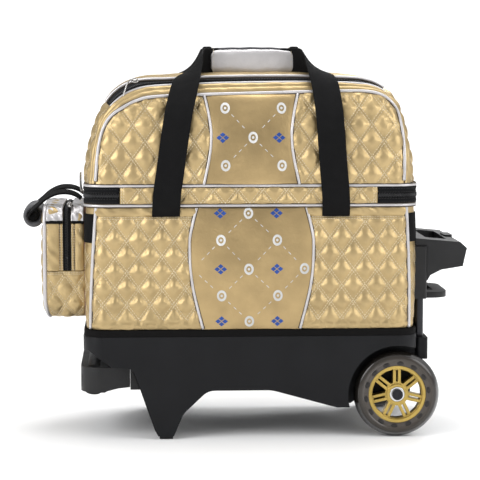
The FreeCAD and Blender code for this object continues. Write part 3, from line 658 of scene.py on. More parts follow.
def diamond_lines(first_u, last_u, first_v, last_v, cell, start):
    """Both families of a quilt's slanting lines, as (u, v) ends, over a box."""
    lines = []
    slope = cell[1] / cell[0]
    for sign in (1, -1):
        corners = [(u, v) for u in (first_u, last_u) for v in (first_v, last_v)]
        numbers = [(u - start[0]) / cell[0] - sign * (v - start[1]) / cell[1] for u, v in corners]
        for k in range(math.ceil(min(numbers)), math.floor(max(numbers)) + 1):
            ends = []
            for u in (first_u, last_u):
                ends.append((u, start[1] + sign * slope * (u - start[0] - k * cell[0])))
            (u0, v0), (u1, v1) = ends
            t0, t1 = sorted(((first_v - v0) / (v1 - v0), (last_v - v0) / (v1 - v0)))
            t0, t1 = max(0, t0), min(1, t1)
            if t1 - t0 > 0.01:
                lines.append(((u0 + t0 * (u1 - u0), v0 + t0 * (v1 - v0)), (u0 + t1 * (u1 - u0), v0 + t1 * (v1 - v0))))
    return lines


def constant(value):
    return lambda other: np.zeros_like(np.asarray(other, float)) + value


def through(*pairs):
    """A soft function through (input, output) pairs."""
    xs, ys = zip(*sorted(pairs))
    return lambda other: smooth(other, xs, ys)


# ---------------------------------------------------------------- the bag's own surfaces


def round_box(s, half_x, half_y, turn):
    """Point and outward direction at distance s along a rounded rectangle, from the middle of the front towards +X."""
    flat_x, flat_y, arc = half_x - turn, half_y - turn, turn * math.pi / 2
    whole = 4 * (flat_x + flat_y + arc)
    s = np.mod(np.asarray(s, float) + whole / 2, whole) - whole / 2
    side = np.sign(s) + (s == 0)
    run = np.abs(s)
    x = np.zeros_like(run)
    y = np.zeros_like(run)
    turned = np.zeros_like(run)
    front = run <= flat_x
    x, y = np.where(front, run, x), np.where(front, -half_y, y)
    angle = np.clip((run - flat_x) / turn, 0, math.pi / 2)
    first = (run > flat_x) & (run <= flat_x + arc)
    x = np.where(first, flat_x + turn * np.sin(angle), x)
    y = np.where(first, -flat_y - turn * np.cos(angle), y)
    turned = np.where(run > flat_x, angle, turned)
    along = run - flat_x - arc
    end = (along > 0) & (along <= 2 * flat_y)
    x, y = np.where(end, half_x, x), np.where(end, -flat_y + along, y)
    angle = np.clip((along - 2 * flat_y) / turn, 0, math.pi / 2)
    second = (along > 2 * flat_y) & (along <= 2 * flat_y + arc)
    x = np.where(second, flat_x + turn * np.cos(angle), x)
    y = np.where(second, flat_y + turn * np.sin(angle), y)
    turned = np.where(along > 2 * flat_y, math.pi / 2 + angle, turned)
    back = along > 2 * flat_y + arc
    x, y = np.where(back, flat_x - (along - 2 * flat_y - arc), x), np.where(back, half_y, y)
    return side * x, y, side * np.sin(turned), -np.cos(turned)


BODY_ROUND = 4 * (HALF_X + HALF_Y - 2 * CORNER) + 2 * math.pi * CORNER


def wall(s, z):
    """Outer face of the ball compartment; s runs round it from the middle of the front."""
    x, y, out_x, out_y = round_box(s, HALF_X, HALF_Y, CORNER)
    t = (z - (BODY_LOW + BODY_HIGH) / 2) / ((BODY_HIGH - BODY_LOW) / 2)
    swell_out = 2.5 * (1 - t * t)
    return np.stack([x + out_x * swell_out, y + out_y * swell_out, z + np.zeros_like(x)], axis=-1)


def back_wall(s, z):
    """The same wall with s measured from the middle of the back, towards -X."""
    return wall(s + BODY_ROUND / 2, z)


def end_wall(sign):
    """The wall with s measured from the middle of one end, in the same sense as wall()."""
    return lambda s, z: wall(s + sign * BODY_ROUND / 4, z)


def corner_run(x):
    """Distance along the front that reaches a point x on the round corner."""
    flat = HALF_X - CORNER
    return np.sign(x) * np.where(np.abs(x) <= flat, np.abs(x),
                                 flat + CORNER * np.arcsin(np.clip((np.abs(x) - flat) / CORNER, 0, 1)))


# The lid's rounded outline at some heights: height, half length, half depth, corner.
LID = np.array([(373, 243, 136, 30), (441, 233, 129, 32), (494, 215, 114, 34), (515, 199, 98, 34), (530, 168, 62, 30)], float)


def lid_front(x, z):
    """Front face of the lid at a place seen from the front."""
    half_x, half_y, turn = (smooth(z, LID[:, 0], LID[:, k]) for k in (1, 2, 3))
    over = np.clip(np.abs(x) - (half_x - turn), 0, turn * 0.999)
    y = -(half_y - turn + np.sqrt(turn**2 - over**2))
    return np.stack([x + np.zeros_like(y), y, z + np.zeros_like(y)], axis=-1)


def lid_back(x, z):
    """The lid's rear face, x counted towards -X so that it reads like the front."""
    return lid_front(x, z) * (-1, -1, 1)


# Seam between the lid's front panel and its gusset, from the lower left over the top to the lower right, as (x, z).
LID_SEAM = [(-226.5, 372), (-225, 390), (-223.5, 410), (-220.5, 432), (-214.5, 455), (-204, 472.5), (-187.5, 485), (-165, 496),
            (-140, 501), (-70, 504), (12, 506), (90, 508), (150, 508.7), (176, 507.5), (197, 500.5), (213, 484), (219.5, 460),
            (222.5, 432), (223, 404), (221.5, 372)]
# Outermost line of the lid half way back, in the same order.
LID_CREST = [(-243, 372), (-241, 392), (-238.5, 412), (-233, 437), (-224, 466), (-211, 491), (-197, 508), (-178, 520),
             (-150, 527), (-70, 531.5), (0, 533), (80, 532.5), (150, 529), (180, 523), (200, 512.5), (216, 496), (227, 470),
             (234, 437), (240, 408), (243, 372)]
seam_line = evenly(curve(LID_SEAM, 4), 4)
crest_line = evenly(curve(LID_CREST, 4), 4)
SEAM_LENGTH = 4.0 * (len(seam_line) - 1)


def along_line(line, share):
    """(x, z) at a share of a line's length."""
    at = np.linspace(0, 1, len(line))
    return np.interp(share, at, line[:, 0]), np.interp(share, at, line[:, 1])


def gusset(u, v):
    """The lid's gusset: u runs along the seam in millimetres, v from -1 at the front seam to 1 at the back seam."""
    share = np.clip(u / SEAM_LENGTH, 0, 1)
    seam_x, seam_z = along_line(seam_line, share)
    crest_x, crest_z = along_line(crest_line, share)
    depth = lid_front(seam_x, seam_z)[..., 1]
    bend = np.abs(v) ** 5
    x = crest_x + (seam_x - crest_x) * bend
    z = crest_z + (seam_z - crest_z) * bend
    return np.stack([x, -depth * v, z], axis=-1)


def gusset_mm(u, v):
    """The gusset with v in millimetres from the front seam."""
    return gusset(u, (v - 110) / 110)


# ---------------------------------------------------------------- ball compartment

# Half width of the printed middle panels, by height.
PRINT_LOW = through((163, 71), (180, 75.5), (200, 80.5), (229, 86.5), (262, 90), (291, 90.5), (318, 86), (345, 79))
PRINT_HIGH = through((373, 70), (390, 66.3), (410, 62), (430, 59.2), (448, 58.5), (465, 60.2), (485, 63.8), (510, 70))


def left_seam(z):
    return corner_run(-233.5 + 8 * (z - 171) / 165)


def right_seam(z):
    return corner_run(231 - 5 * (z - 171) / 165)


QUILT_LOW = (34.3, 46.8)
QUILT_HIGH = (35.6, 48.5)
SEW_LINE = 328.5


def crinkle(u, v):
    """Soft slanting folds of a narrow plain strip."""
    slant = u + 0.8 * v
    return 1.2 * np.sin(slant / 6.1 + 1.7 * np.sin(u / 31)) * np.sin(u / 19 + v / 7) + 0.4 * np.sin(slant / 2.9)


def plain_strip(name, surface, left, right, low, high, body, puff=2.2, folds=1.3):
    """A narrow unquilted panel that swells between its seams and has soft cross folds."""
    vs = np.linspace(0, 1, 9)
    count = max(8, int(abs(float(np.mean(right(np.array([low, high])))) - float(np.mean(left(np.array([low, high]))))) / 2))
    share, t = np.meshgrid(np.linspace(0, 1, count), vs)
    v = low + (high - low) * t
    u = left(v) + (right(v) - left(v)) * share
    swelling = np.sin(math.pi * t) ** 0.7
    height = 0.4 + swelling * (puff + folds * crinkle(u, v))
    points = raised(surface, u, v, height).reshape(-1, 3)
    uv = np.stack([u.ravel(), v.ravel()], axis=1)
    return build(name, points, grid_faces(len(vs), count), "gold_leather", body, uv)


def double_seam(name, surface, cover, left, right, v, body, gap=2.6):
    places, ways = stitch_rows([((left, v), (right, v))], 3.8, gap / 2)
    return sew(name, surface, cover, places, ways, body)


def piping(name, surface, us, vs, body, radius=2.3, out=1.3, closed=False):
    """A covered cord along a seam, over a dark strip of painted shade that shows as a shadow line beside it."""
    us, vs = np.asarray(us, float), np.asarray(vs, float)
    path = raised(surface, us, vs, np.full(len(us), out))
    rise = raised(surface, us, vs, np.full(len(us), out + 1)) - path
    if not closed:
        path, rise = np.hsplit(curve(np.hstack([path, rise]), 3.2), 2)
    ahead = np.roll(path, -1, axis=0) - np.roll(path, 1, axis=0) if closed else np.gradient(path, axis=0)
    across = np.cross(unit(rise), unit(ahead))
    painted_shade_strip = path - unit(rise) * (out - 0.5)
    if closed:
        painted_shade_strip, across = np.vstack([painted_shade_strip, painted_shade_strip[:1]]), np.vstack([across, across[:1]])
    # The dark strip is painted shade: the shadow line along the piping's sides.
    strap(f"{name}_lip", painted_shade_strip, across, radius * 2 + 2.4, 0.9, "seam_shade", body)
    return cord(name, path, radius, "silver_leather", body, closed)


def print_panel(name, surface, half_width, low, high, body, rows, stands_for=()):
    """Smooth printed panel between two curved seams, with a generic ring-and-lozenge print."""
    vs = np.linspace(low, high, 46)
    share, v = np.meshgrid(np.linspace(-1, 1, 49), vs)
    u = share * half_width(v)
    t = (v - low) / (high - low)
    fold = 0.5 * np.sin(u / 33 + v / 27) + 0.35 * np.sin(u / 14 - v / 41 + 1.3)
    swelling = (np.clip(1 - share**2, 0, 1) ** 0.8) * (np.sin(math.pi * t) ** 0.5)
    height = 0.4 + swelling * (6.5 + fold)
    points = raised(surface, u, v, height).reshape(-1, 3)
    uv = np.stack([u.ravel(), v.ravel()], axis=1)
    panel = build(name, points, grid_faces(len(vs), 49), "print_leather", body, uv, stands_for)
    print_marks(f"{name}_print", surface, panel, half_width, low, high, rows, body)
    return panel


def print_marks(name, surface, panel, half_width, low, high, rows, body):
    """Grey rings, blue lozenges and dashed slanting lines, laid on the panel's surface.

    rows lists (height, marks), each mark a column and its kind; the columns are 41 mm apart.
    """
    tree = BVHTree.FromPolygons([Vector(p) for p in millimetres(panel)], [tuple(f.vertices) for f in panel.data.polygons])
    shapes = {"print_grey": ([], []), "print_blue": ([], [])}

    def add(finish, outline):
        points, faces = shapes[finish]
        base = len(points)
        points += outline[0]
        faces += [tuple(base + k for k in face) for face in outline[1]]

    def fits(u, v, room):
        return abs(u) < float(half_width(np.array(v))) - room and low + room < v < high - room

    for height, marks in rows:
        for u, kind in marks:
            if kind == "ring" and fits(u, height, 9):
                turn = np.linspace(0, 2 * math.pi, 20, endpoint=False)
                rings = [(u + r * 0.85 * math.cos(a), height + r * math.sin(a)) for r in (8.2, 4.6) for a in turn]
                add("print_grey", (rings, [(k, (k + 1) % 20, 20 + (k + 1) % 20, 20 + k) for k in range(20)]))
                dot = [(u + 1.9 * math.cos(a), height + 1.9 * math.sin(a)) for a in turn[::2]]
                add("print_grey", (dot, [tuple(range(10))]))
            if kind == "lozenge" and fits(u, height, 9):
                for k, (du, dv) in enumerate(((-5, 0), (5, 0), (0, 4.2), (0, -4.2))):
                    ends = [(u + du - 4.2, height + dv), (u + du, height + dv - 3.4), (u + du + 4.2, height + dv), (u + du, height + dv + 3.4)]
                    add("print_blue", (ends, [(0, 1, 2, 3)]))
    rings = [(u, height) for height, marks in rows for u, kind in marks if kind == "ring"]
    for k, (u, v) in enumerate(rings):
        for other_u, other_v in rings[k + 1:]:
            if not (30 < abs(other_u - u) < 50 and 30 < abs(other_v - v) < 50):
                continue
            way = np.array([other_u - u, other_v - v])
            length = np.linalg.norm(way)
            way = way / length
            side = np.array([-way[1], way[0]])
            for at in np.arange(13, length - 15, 11):
                start = np.array([u, v]) + way * at
                if not fits(start[0], start[1], 3) or not fits(start[0] + way[0] * 5, start[1] + way[1] * 5, 3):
                    continue
                add("print_grey", ([tuple(start + side * 0.45), tuple(start - side * 0.45),
                                    tuple(start - side * 0.45 + way * 5), tuple(start + side * 0.45 + way * 5)], [(0, 1, 2, 3)]))
    for finish, (flat, faces) in shapes.items():
        if not faces:
            continue
        flat = np.array(flat, float)
        above = raised(surface, flat[:, 0], flat[:, 1], np.full(len(flat), 14.0))
        below = raised(surface, flat[:, 0], flat[:, 1], np.full(len(flat), -4.0))
        points = []
        for start, end in zip(above, below):
            hit, normal, _, _ = tree.ray_cast(Vector(start), (Vector(end) - Vector(start)).normalized(), 20)
            way = (Vector(start) - Vector(end)).normalized()
            points.append((hit if hit else Vector(end)) + way * 0.25)
        build(f"{name}_{finish[6:]}", points, faces, finish, body)



HIGH_ROWS = [
    (484, [(-38, "ring"), (44, "ring")]),
    (442, [(-42, "lozenge"), (2, "ring"), (40, "lozenge")]),
    (402, [(-38, "ring"), (44, "ring")]),
]
LOW_ROWS = [
    (333, [(-46, "lozenge"), (-5, "ring"), (36, "lozenge")]),
    (294, [(-45, "ring"), (37, "ring")]),
    (252, [(-86, "ring"), (-45.5, "lozenge"), (-4.5, "ring"), (36.5, "lozenge"), (77, "ring")]),
    (213, [(-44, "ring"), (38, "ring")]),
    (175, [(-44, "lozenge"), (-3.5, "ring"), (37.5, "lozenge")]),
]


def face_panels(side, surface, seam_left, seam_right):
    """Front or back of the ball compartment: two quilted panels, a printed one, and plain strips above the quilts."""
    body = "base"
    print_left = lambda z: -PRINT_LOW(z)
    for hand, left, right, corner in (("left", seam_left, print_left, (-182, 293.3)), ("right", PRINT_LOW, seam_right, (131.7, 273))):
        panel = quilted(f"{side}_quilt_{hand}", surface, left, right, constant(BODY_LOW + 0.5), constant(SEW_LINE),
                        QUILT_LOW, body, corner, margin=(12, 3))
        plain_strip(f"{side}_strip_{hand}", surface, left, right, SEW_LINE, ZIP_LOW, body)
        span = (float(left(np.array(SEW_LINE))) + 4, float(right(np.array(SEW_LINE))) - 4)
        double_seam(f"{side}_seam_{hand}", surface, panel, *span, SEW_LINE - 2.4, body)
    print_panel(f"{side}_print_panel", surface, PRINT_LOW, BODY_LOW + 0.5, ZIP_LOW, body, LOW_ROWS)
    heights = np.linspace(BODY_LOW + 1, ZIP_LOW - 1, 30)
    for hand, sign in (("left", -1), ("right", 1)):
        piping(f"{side}_print_piping_{hand}", surface, sign * PRINT_LOW(heights), heights, body, 2.0)
    piping(f"{side}_corner_piping_left", surface, seam_left(heights), heights, body, 2.5)
    piping(f"{side}_corner_piping_right", surface, seam_right(heights), heights, body, 2.5)


def end_panels(side, sign, front_seam, back_seam):
    """One end of the ball compartment, between the corner pipings of the front and the back."""
    surface = end_wall(sign)
    quarter = BODY_ROUND / 4
    near = lambda z: -(quarter - np.abs(front_seam(z)))
    far = lambda z: quarter - np.abs(back_seam(z))
    low_side, high_side = (near, far) if sign > 0 else (lambda z: -far(z), lambda z: -near(z))
    panel = quilted(f"{side}_end_quilt", surface, low_side, high_side, constant(BODY_LOW + 0.5), constant(286),
                    (40, 42), "base", (0, 225), puff=1.6, margin=(10, 4))
    double_seam(f"{side}_end_seam", surface, panel, -112, 112, 283.5, "base")
    plain_strip(f"{side}_end_strip", surface, low_side, high_side, 286, ZIP_LOW, "base", puff=0.7, folds=0.3)
    low, high = node_box("end_strips")
    middle = np.array((low[2] + high[2]) / 2)
    run = np.linspace(float(low_side(middle)) + 1, float(high_side(middle)) - 1, 60)
    strip = sheet(f"{side}_end_webbing", surface, run, np.linspace(low[2], high[2], 9), "black_webbing", "base", out=2.6, thick=1.0)
    return strip


face_panels("front", wall, left_seam, right_seam)
face_panels("back", back_wall, lambda z: -right_seam(z), lambda z: -left_seam(z))
left_strip = end_panels("left", -1, left_seam, left_seam)
end_panels("right", 1, right_seam, right_seam)
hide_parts("end_strips")

# ---------------------------------------------------------------- zip band


def band(s, z):
    """Face of the zip band, a little proud of the body."""
    x, y, out_x, out_y = round_box(s, HALF_X + 3.2, HALF_Y + 3.2, CORNER + 3.2)
    return np.stack([x, y, z + np.zeros_like(x)], axis=-1)


BAND_ROUND = 4 * (HALF_X + HALF_Y + 6.4 - 2 * (CORNER + 3.2)) + 2 * math.pi * (CORNER + 3.2)
HINGE_LEFT, HINGE_RIGHT = -191.0, 183.5


def zip_band():
    """Black zip tapes round the ends and the back, with the coil between them."""
    start, end = HINGE_RIGHT + 1, HINGE_LEFT + BAND_ROUND - 1
    us = np.linspace(start, end, 300)
    for name, low, high, body, node in (("zip_tape_lower", ZIP_LOW, ZIP_LINE - 1.2, "base", "main_zip_tape_lower"),
                                        ("zip_tape_upper", ZIP_LINE + 1.2, ZIP_HIGH, "lid", "main_zip_tape_upper")):
        rib = lambda u, v: 0.9 * np.sin((v - ZIP_LOW) / 3.2) ** 2 * fade(np.abs(v - ZIP_LINE), 3, 6) - 0.5 * (1 - fade(np.abs(v - ZIP_LINE), 3, 6))
        tape = sheet(name, band, us, np.linspace(low, high, 14), "zip_fabric", body, out=0.6, stands_for=(node,), thick=1.2, relief=rib)
    for row, (body, shift) in {"lower": ("base", -0.9), "upper": ("lid", 0.9)}.items():
        at = np.arange(start + 1, end - 1, 2.4) + (0.6 if row == "upper" else -0.6)
        places = raised(band, at, np.full(len(at), ZIP_LINE + shift), np.full(len(at), 0.95))
        ways = np.tile([0, 0, 1.0], (len(at), 1))
        out = raised(band, at, np.full(len(at), ZIP_LINE), np.full(len(at), 2.0)) - band(at, np.full(len(at), ZIP_LINE))
        grains(f"zip_coil_{row}", places, ways, out, (4.6, 1.2, 1.8), "zip_coil", body)
        line = np.arange(start + 2, end - 2, 4.0)
        for k, gap in enumerate((4.6, 9.8)):
            height = ZIP_LINE + math.copysign(gap, shift)
            places = raised(band, line, np.full(len(line), height), np.full(len(line), 1.2))
            out = places - band(line, np.full(len(line), height))
            ways = band(line + 0.5, np.full(len(line), height)) - band(line - 0.5, np.full(len(line), height))
            grains(f"zip_seam_{row}_{k}", places, ways, out, (3, 0.7, 0.6), "dark_thread", body)
    whole = np.linspace(0, BAND_ROUND, 420, endpoint=False)
    piping("band_piping_lower", band, whole, np.full(len(whole), ZIP_LOW - 0.6), "base", 2.0, out=0.1, closed=True)
    piping("band_piping_upper", band, whole, np.full(len(whole), ZIP_HIGH + 0.6), "lid", 2.0, out=0.1, closed=True)


HINGE_CELL, HINGE_START = (35.6, 44), (-56.3, ZIP_HIGH - 5)


def hinge_quilt():
    """Quilted band along the front; the lid folds on it."""
    panel = quilted("hinge_band", band, constant(HINGE_LEFT), constant(HINGE_RIGHT), constant(ZIP_LOW + 1), constant(ZIP_HIGH - 1),
                    HINGE_CELL, None, HINGE_START, puff=4.6, margin=(0, 0), stands_for=("hinge_band_lower", "hinge_band_upper"),
                    stitched=False)
    lines = diamond_lines(HINGE_LEFT, HINGE_RIGHT, ZIP_LOW + 1, ZIP_HIGH - 1, HINGE_CELL, HINGE_START)
    lines += [((at, ZIP_LOW + 2), (at, ZIP_HIGH - 2)) for at in (HINGE_LEFT + 4, HINGE_RIGHT - 4)]
    places, ways = stitch_rows(lines, 4.2, 1.7)
    inside = (np.abs(places[:, 1] - ZIP_LINE) < 12) & (places[:, 0] > HINGE_LEFT + 1) & (places[:, 0] < HINGE_RIGHT - 1)
    seam = sew("hinge_band_stitches", band, panel, places[inside], ways[inside], None)
    for thing in (panel, seam):
        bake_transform(thing)


zip_band()
hinge_quilt()

# ---------------------------------------------------------------- lid

LEFT_HIGH = through((372, -226.5), (390, -225), (410, -223.5), (432, -220.5), (455, -214.5), (472.5, -204), (520, -204))
RIGHT_HIGH = through((372, 221.5), (404, 223), (432, 222.5), (460, 219.5), (484, 213), (520, 213))
TOP_EDGE = through((-230, 472.5), (-204, 472.5), (-187.5, 485), (-165, 496), (-140, 501), (-70, 504), (12, 506), (90, 508), (150, 508.7),
                   (176, 507.5), (197, 500.5), (213, 484), (230, 484))


def lid_face(side, surface, mirrored):
    """Front or back panel of the lid."""
    flip = (lambda f: (lambda other: -f(other))) if mirrored else None
    left = flip(RIGHT_HIGH) if mirrored else LEFT_HIGH
    right = flip(LEFT_HIGH) if mirrored else RIGHT_HIGH
    top = (lambda x: TOP_EDGE(-np.asarray(x))) if mirrored else TOP_EDGE
    low = constant(ZIP_HIGH + 1)
    quilted(f"{side}_lid_quilt_left", surface, left, lambda z: -PRINT_HIGH(z), low, top, QUILT_HIGH, "lid", (-154.3, 436.3), margin=(4, 3))
    quilted(f"{side}_lid_quilt_right", surface, PRINT_HIGH, right, low, top, QUILT_HIGH, "lid", (157.8, 437), margin=(4, 3))
    panel_top = float(np.mean(top(np.array([-60.0, 60.0]))))
    print_panel(f"{side}_lid_print_panel", surface, PRINT_HIGH, ZIP_HIGH + 1, panel_top, "lid", HIGH_ROWS)
    heights = np.linspace(ZIP_HIGH + 2, panel_top - 1, 24)
    for hand, sign in (("left", -1), ("right", 1)):
        piping(f"{side}_lid_print_piping_{hand}", surface, sign * PRINT_HIGH(heights), heights, "lid", 2.0)
    seam = seam_line[2:-2] * ((-1, 1) if mirrored else (1, 1))
    piping(f"{side}_lid_piping", surface, seam[:, 0], seam[:, 1], "lid", 2.4, out=1.2)


TOP_START, TOP_END = 116.0, SEAM_LENGTH - 140


def flap_edge(u):
    """Front edge of the shoe flap; the zip tape in front of it widens towards both ends."""
    return 34 + 24 * (1 - fade(u, TOP_START + 8, TOP_START + 100)) + 12 * fade(u, TOP_END - 80, TOP_END)


def lid_gusset():
    """The strip between the lid's two faces: side panels, edge bands, the shoe zip and the top panel."""
    whole = (constant(0), constant(SEAM_LENGTH))
    double_hump = lambda t: np.abs(np.sin(2 * math.pi * t)) ** 0.6
    for side, low, high in (("front", 2, 16), ("back", 204, 218)):
        vs = np.linspace(low, high, 13)
        humps = lambda u, v: 0.3 + (2.6 + 0.5 * crinkle(u, v)) * double_hump((v - low) / (high - low))
        sheet(f"lid_{side}_band", gusset_mm, np.linspace(0, SEAM_LENGTH, 240), vs, "gold_leather", "lid", relief=humps)
        run = np.linspace(TOP_START, TOP_END, 120)
        edge = high if side == "front" else low
        piping(f"lid_{side}_band_piping", gusset_mm, run, np.full(120, edge), "lid", 1.9, out=1.4)
    quilted("lid_side_left", gusset_mm, constant(0), constant(TOP_START), constant(16), constant(204), (36, 36), "lid", (20, 110),
            puff=4, margin=(3, 3))
    quilted("lid_side_right", gusset_mm, constant(TOP_END), constant(SEAM_LENGTH), constant(16), constant(204), (36, 36), "lid",
            (SEAM_LENGTH - 20, 110), puff=4, margin=(3, 3))
    sheet("shoe_zip_tape", gusset_mm, np.linspace(TOP_START, TOP_END, 150), np.linspace(16.5, 60, 24), "zip_fabric", "lid",
          out=-0.4, thick=1.0)
    sheet("lid_back_strip", gusset_mm, np.linspace(TOP_START, TOP_END, 150), np.linspace(184, 203.5, 10), "gold_leather", "lid",
          relief=lambda u, v: 0.3 + 1.5 * np.sin(math.pi * (v - 184) / 19.5))
    at = np.arange(TOP_START + 4, TOP_END - 4, 2.2)
    places = raised(gusset_mm, at, np.full(len(at), 27.0), np.full(len(at), 0.6))
    out = places - gusset_mm(at, np.full(len(at), 27.0))
    ways = gusset_mm(at, np.full(len(at), 28.0)) - gusset_mm(at, np.full(len(at), 26.0))
    grains("shoe_zip_coil", places, ways, out, (5, 1.2, 1.4), "zip_coil", "lid")
    share, u = np.meshgrid(np.linspace(0, 1, 60), np.linspace(TOP_START, TOP_END, 170), indexing="ij")
    v = flap_edge(u) + (184 - flap_edge(u)) * share
    relief = 1.0 + 3.2 * np.sin(math.pi * share) ** 0.35 + 0.5 * crinkle(u, v)
    panel = build("lid_top_panel", raised(gusset_mm, u, v, relief).reshape(-1, 3), grid_faces(60, 170), "gold_leather", "lid",
                  np.stack([u.ravel(), v.ravel()], axis=1))
    thicken(panel, 2)
    run = np.linspace(TOP_START, TOP_END, 120)
    piping("lid_top_piping_front", gusset_mm, run, flap_edge(run) + 1, "lid", 2.1, out=2.4)
    piping("lid_top_piping_back", gusset_mm, run, np.full(120, 184.0), "lid", 2.1, out=2.0)
    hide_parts("lid_shell")


lid_face("front", lid_front, False)
lid_face("back", lid_back, True)
lid_gusset()


# ---------------------------------------------------------------- inside, seen when the lid is open


def ring_sheet(name, rings, finish, body, stands_for=(), count=260, relief=None):
    """A sheet through rounded rectangles, each a half length, half depth, corner and height."""
    share = np.linspace(0, 1, count, endpoint=False)
    points, uv, run = [], [], 0.0
    for k, (half_x, half_y, turn, height) in enumerate(rings):
        whole = 4 * (half_x + half_y - 2 * turn) + 2 * math.pi * turn
        soft = relief(share * whole, k / (len(rings) - 1)) if relief else np.zeros(count)
        x, y, out_x, out_y = round_box(share * whole, half_x, half_y, turn)
        points.append(np.stack([x - out_x * soft, y - out_y * soft, height + 0 * x], axis=-1))
        if k:
            run += float(np.linalg.norm(points[-1] - points[-2], axis=1).mean())
        uv.append(np.stack([share * whole, np.full(count, run)], axis=-1))
    return build(name, np.concatenate(points), grid_faces(len(rings), count, wrap_columns=True), finish, body,
                 np.concatenate(uv), stands_for)


def compartment_lining():
    """Padded lining of the ball compartment, with a bound rim."""
    inset = 6.4
    rings = [(HALF_X - inset, HALF_Y - inset, CORNER - inset, z) for z in np.linspace(BODY_LOW + 1, BODY_HIGH - 2, 40)]

    def folds(s, share):
        held = (1 - (2 * share - 1) ** 6) ** 0.5 if share not in (0, 1) else 0.0
        return held * (1.8 + 0.8 * crinkle(s, share * 150))

    ring_sheet("compartment_lining", rings, "lining", "base", ("ball_compartment_shell",), relief=folds)
    share = np.linspace(0, 4 * (HALF_X + HALF_Y - 2 * CORNER) + 2 * math.pi * (CORNER - 3.2), 300, endpoint=False)
    x, y, _, _ = round_box(share, HALF_X - 3.2, HALF_Y - 3.2, CORNER - 3.2)
    rim = np.stack([x, y, np.full(len(x), BODY_HIGH - 3.4)], axis=-1)
    cord("compartment_rim", rim, 3.4, "zip_fabric", "base", closed=True, segments=12)


def padded_board(name, half_x, half_y, turn, middle, thick, finish, body, node, seams):
    """A fabric-covered board: swollen faces with sewn channels across it, and a bound edge."""
    scale = np.concatenate([np.linspace(0.02, 0.9, 22), np.linspace(0.92, 1.0, 7)])
    share = np.linspace(0, 1, 240, endpoint=False)
    points = []
    for side, order in ((-1, scale), (1, scale[-2::-1])):
        for t in order:
            corner = max(turn * t, 0.2)
            whole = 4 * (half_x * t + half_y * t - 2 * corner) + 2 * math.pi * corner
            x, y, _, _ = round_box(share * whole, half_x * t, half_y * t, corner)
            crown = thick * (1 - t**14) ** 0.5 * (0.82 + 0.18 * (1 - t * t))
            for at in seams:
                crown = crown - 0.45 * thick * np.exp(-((x - at) / 2.6) ** 2)
            points.append(np.stack([x, y, middle + side * (crown if t < 1 else 0 * x)], axis=-1))
    rows = len(points)
    points = np.concatenate(points)
    faces = grid_faces(rows, len(share), wrap_columns=True)
    faces += [tuple(range(len(share)))[::-1], tuple(range((rows - 1) * len(share), rows * len(share)))]
    build(name, points, faces, finish, body, points[:, :2], (node,))
    run = np.linspace(0, 4 * (half_x + half_y - 2 * turn) + 2 * math.pi * turn, 260, endpoint=False)
    x, y, _, _ = round_box(run, half_x, half_y, turn)
    edge = np.stack([x, y, np.full(len(x), middle)], axis=-1)
    cord(f"{name}_binding", edge, min(thick, 2.6), "zip_fabric", body, closed=True, segments=10, flat=0.9)


def divider():
    """Padded wall between the two balls: two swollen faces with sewn channels, and a bound top."""
    low, high = node_box("bay_divider")
    half_y, middle = high[1], (low[2] + high[2]) / 2
    half_z = (high[2] - low[2]) / 2
    y, z = np.meshgrid(np.sin(np.linspace(-1, 1, 70) * math.pi / 2) * half_y, np.sin(np.linspace(-1, 1, 60) * math.pi / 2) * half_z)
    crown = ((1 - (y / half_y) ** 10) * (1 - (z / half_z) ** 10)) ** 0.5
    for at in (-61, 0, 61):
        crown = crown * (1 - 0.5 * np.exp(-((y - at) / 3) ** 2))
    for side, hand in ((-1, "left"), (1, "right")):
        points = np.stack([side * high_thick(low, high) * crown, y, middle + z], axis=-1).reshape(-1, 3)
        faces = grid_faces(60, 70) if side > 0 else [face[::-1] for face in grid_faces(60, 70)]
        stands = ("bay_divider",) if side < 0 else ()
        build(f"bay_divider_face_{hand}", points, faces, "lining", "base", np.stack([y.ravel(), z.ravel()], axis=1), stands)
    run = np.linspace(-half_y, half_y, 60)
    top = np.stack([0 * run, run, np.full(60, middle + half_z - 1.6)], axis=-1)
    cord("bay_divider_binding", top, 2.6, "zip_fabric", "base", segments=10)


def high_thick(low, high):
    """Half thickness of a plate between two corners."""
    return (high[0] - low[0]) / 2


compartment_lining()
divider()
board_low, board_high = node_box("lid_floor")
padded_board("lid_underside", 230, 124, 24, (board_low[2] + board_high[2]) / 2, 2.0, "lining", "lid", "lid_floor", (-154, -77, 0, 77, 154))
ring_sheet("lid_rim_lining", [(242 - 2.4 * k, 135 - 2.2 * k, 29 - k, 374 + 1.0 * k) for k in range(6)], "zip_fabric", "lid")


# ---------------------------------------------------------------- carrying handles

# Centre line of one strap: across, out from the middle, up, and how far its width has turned from level to upright.
STRAP_LEFT = [
    (124.5, 136.5, 329, 0), (124.5, 139, 336, 0), (124, 143.2, 346, 0), (123, 144.2, 359, 0), (121.5, 144, 373, 0),
    (118.5, 141.5, 392, 0), (114, 139.5, 425, 0), (109.5, 136.5, 455, 0), (105, 130.5, 482, 3), (99, 119, 506, 8),
    (93.5, 104, 525, 16), (86.5, 84, 539, 32), (78, 60, 549, 56), (69, 38, 552, 78), (58, 26, 552, 88), (44, 21, 552, 90),
]
STRAP_RIGHT = [
    (122.8, 136.5, 329, 0), (122.8, 139, 336, 0), (122.5, 143.2, 346, 0), (122, 144.2, 359, 0), (121, 144, 373, 0),
    (119.5, 141.5, 392, 0), (117, 139.5, 425, 0), (115, 136.5, 455, 0), (113, 130.5, 482, 0), (110.5, 119, 506, 2),
    (107.5, 104, 525, 8), (101, 84, 539, 24), (91, 60, 549, 50), (80, 38, 552, 76), (66, 26, 552, 88), (50, 21, 552, 90),
]


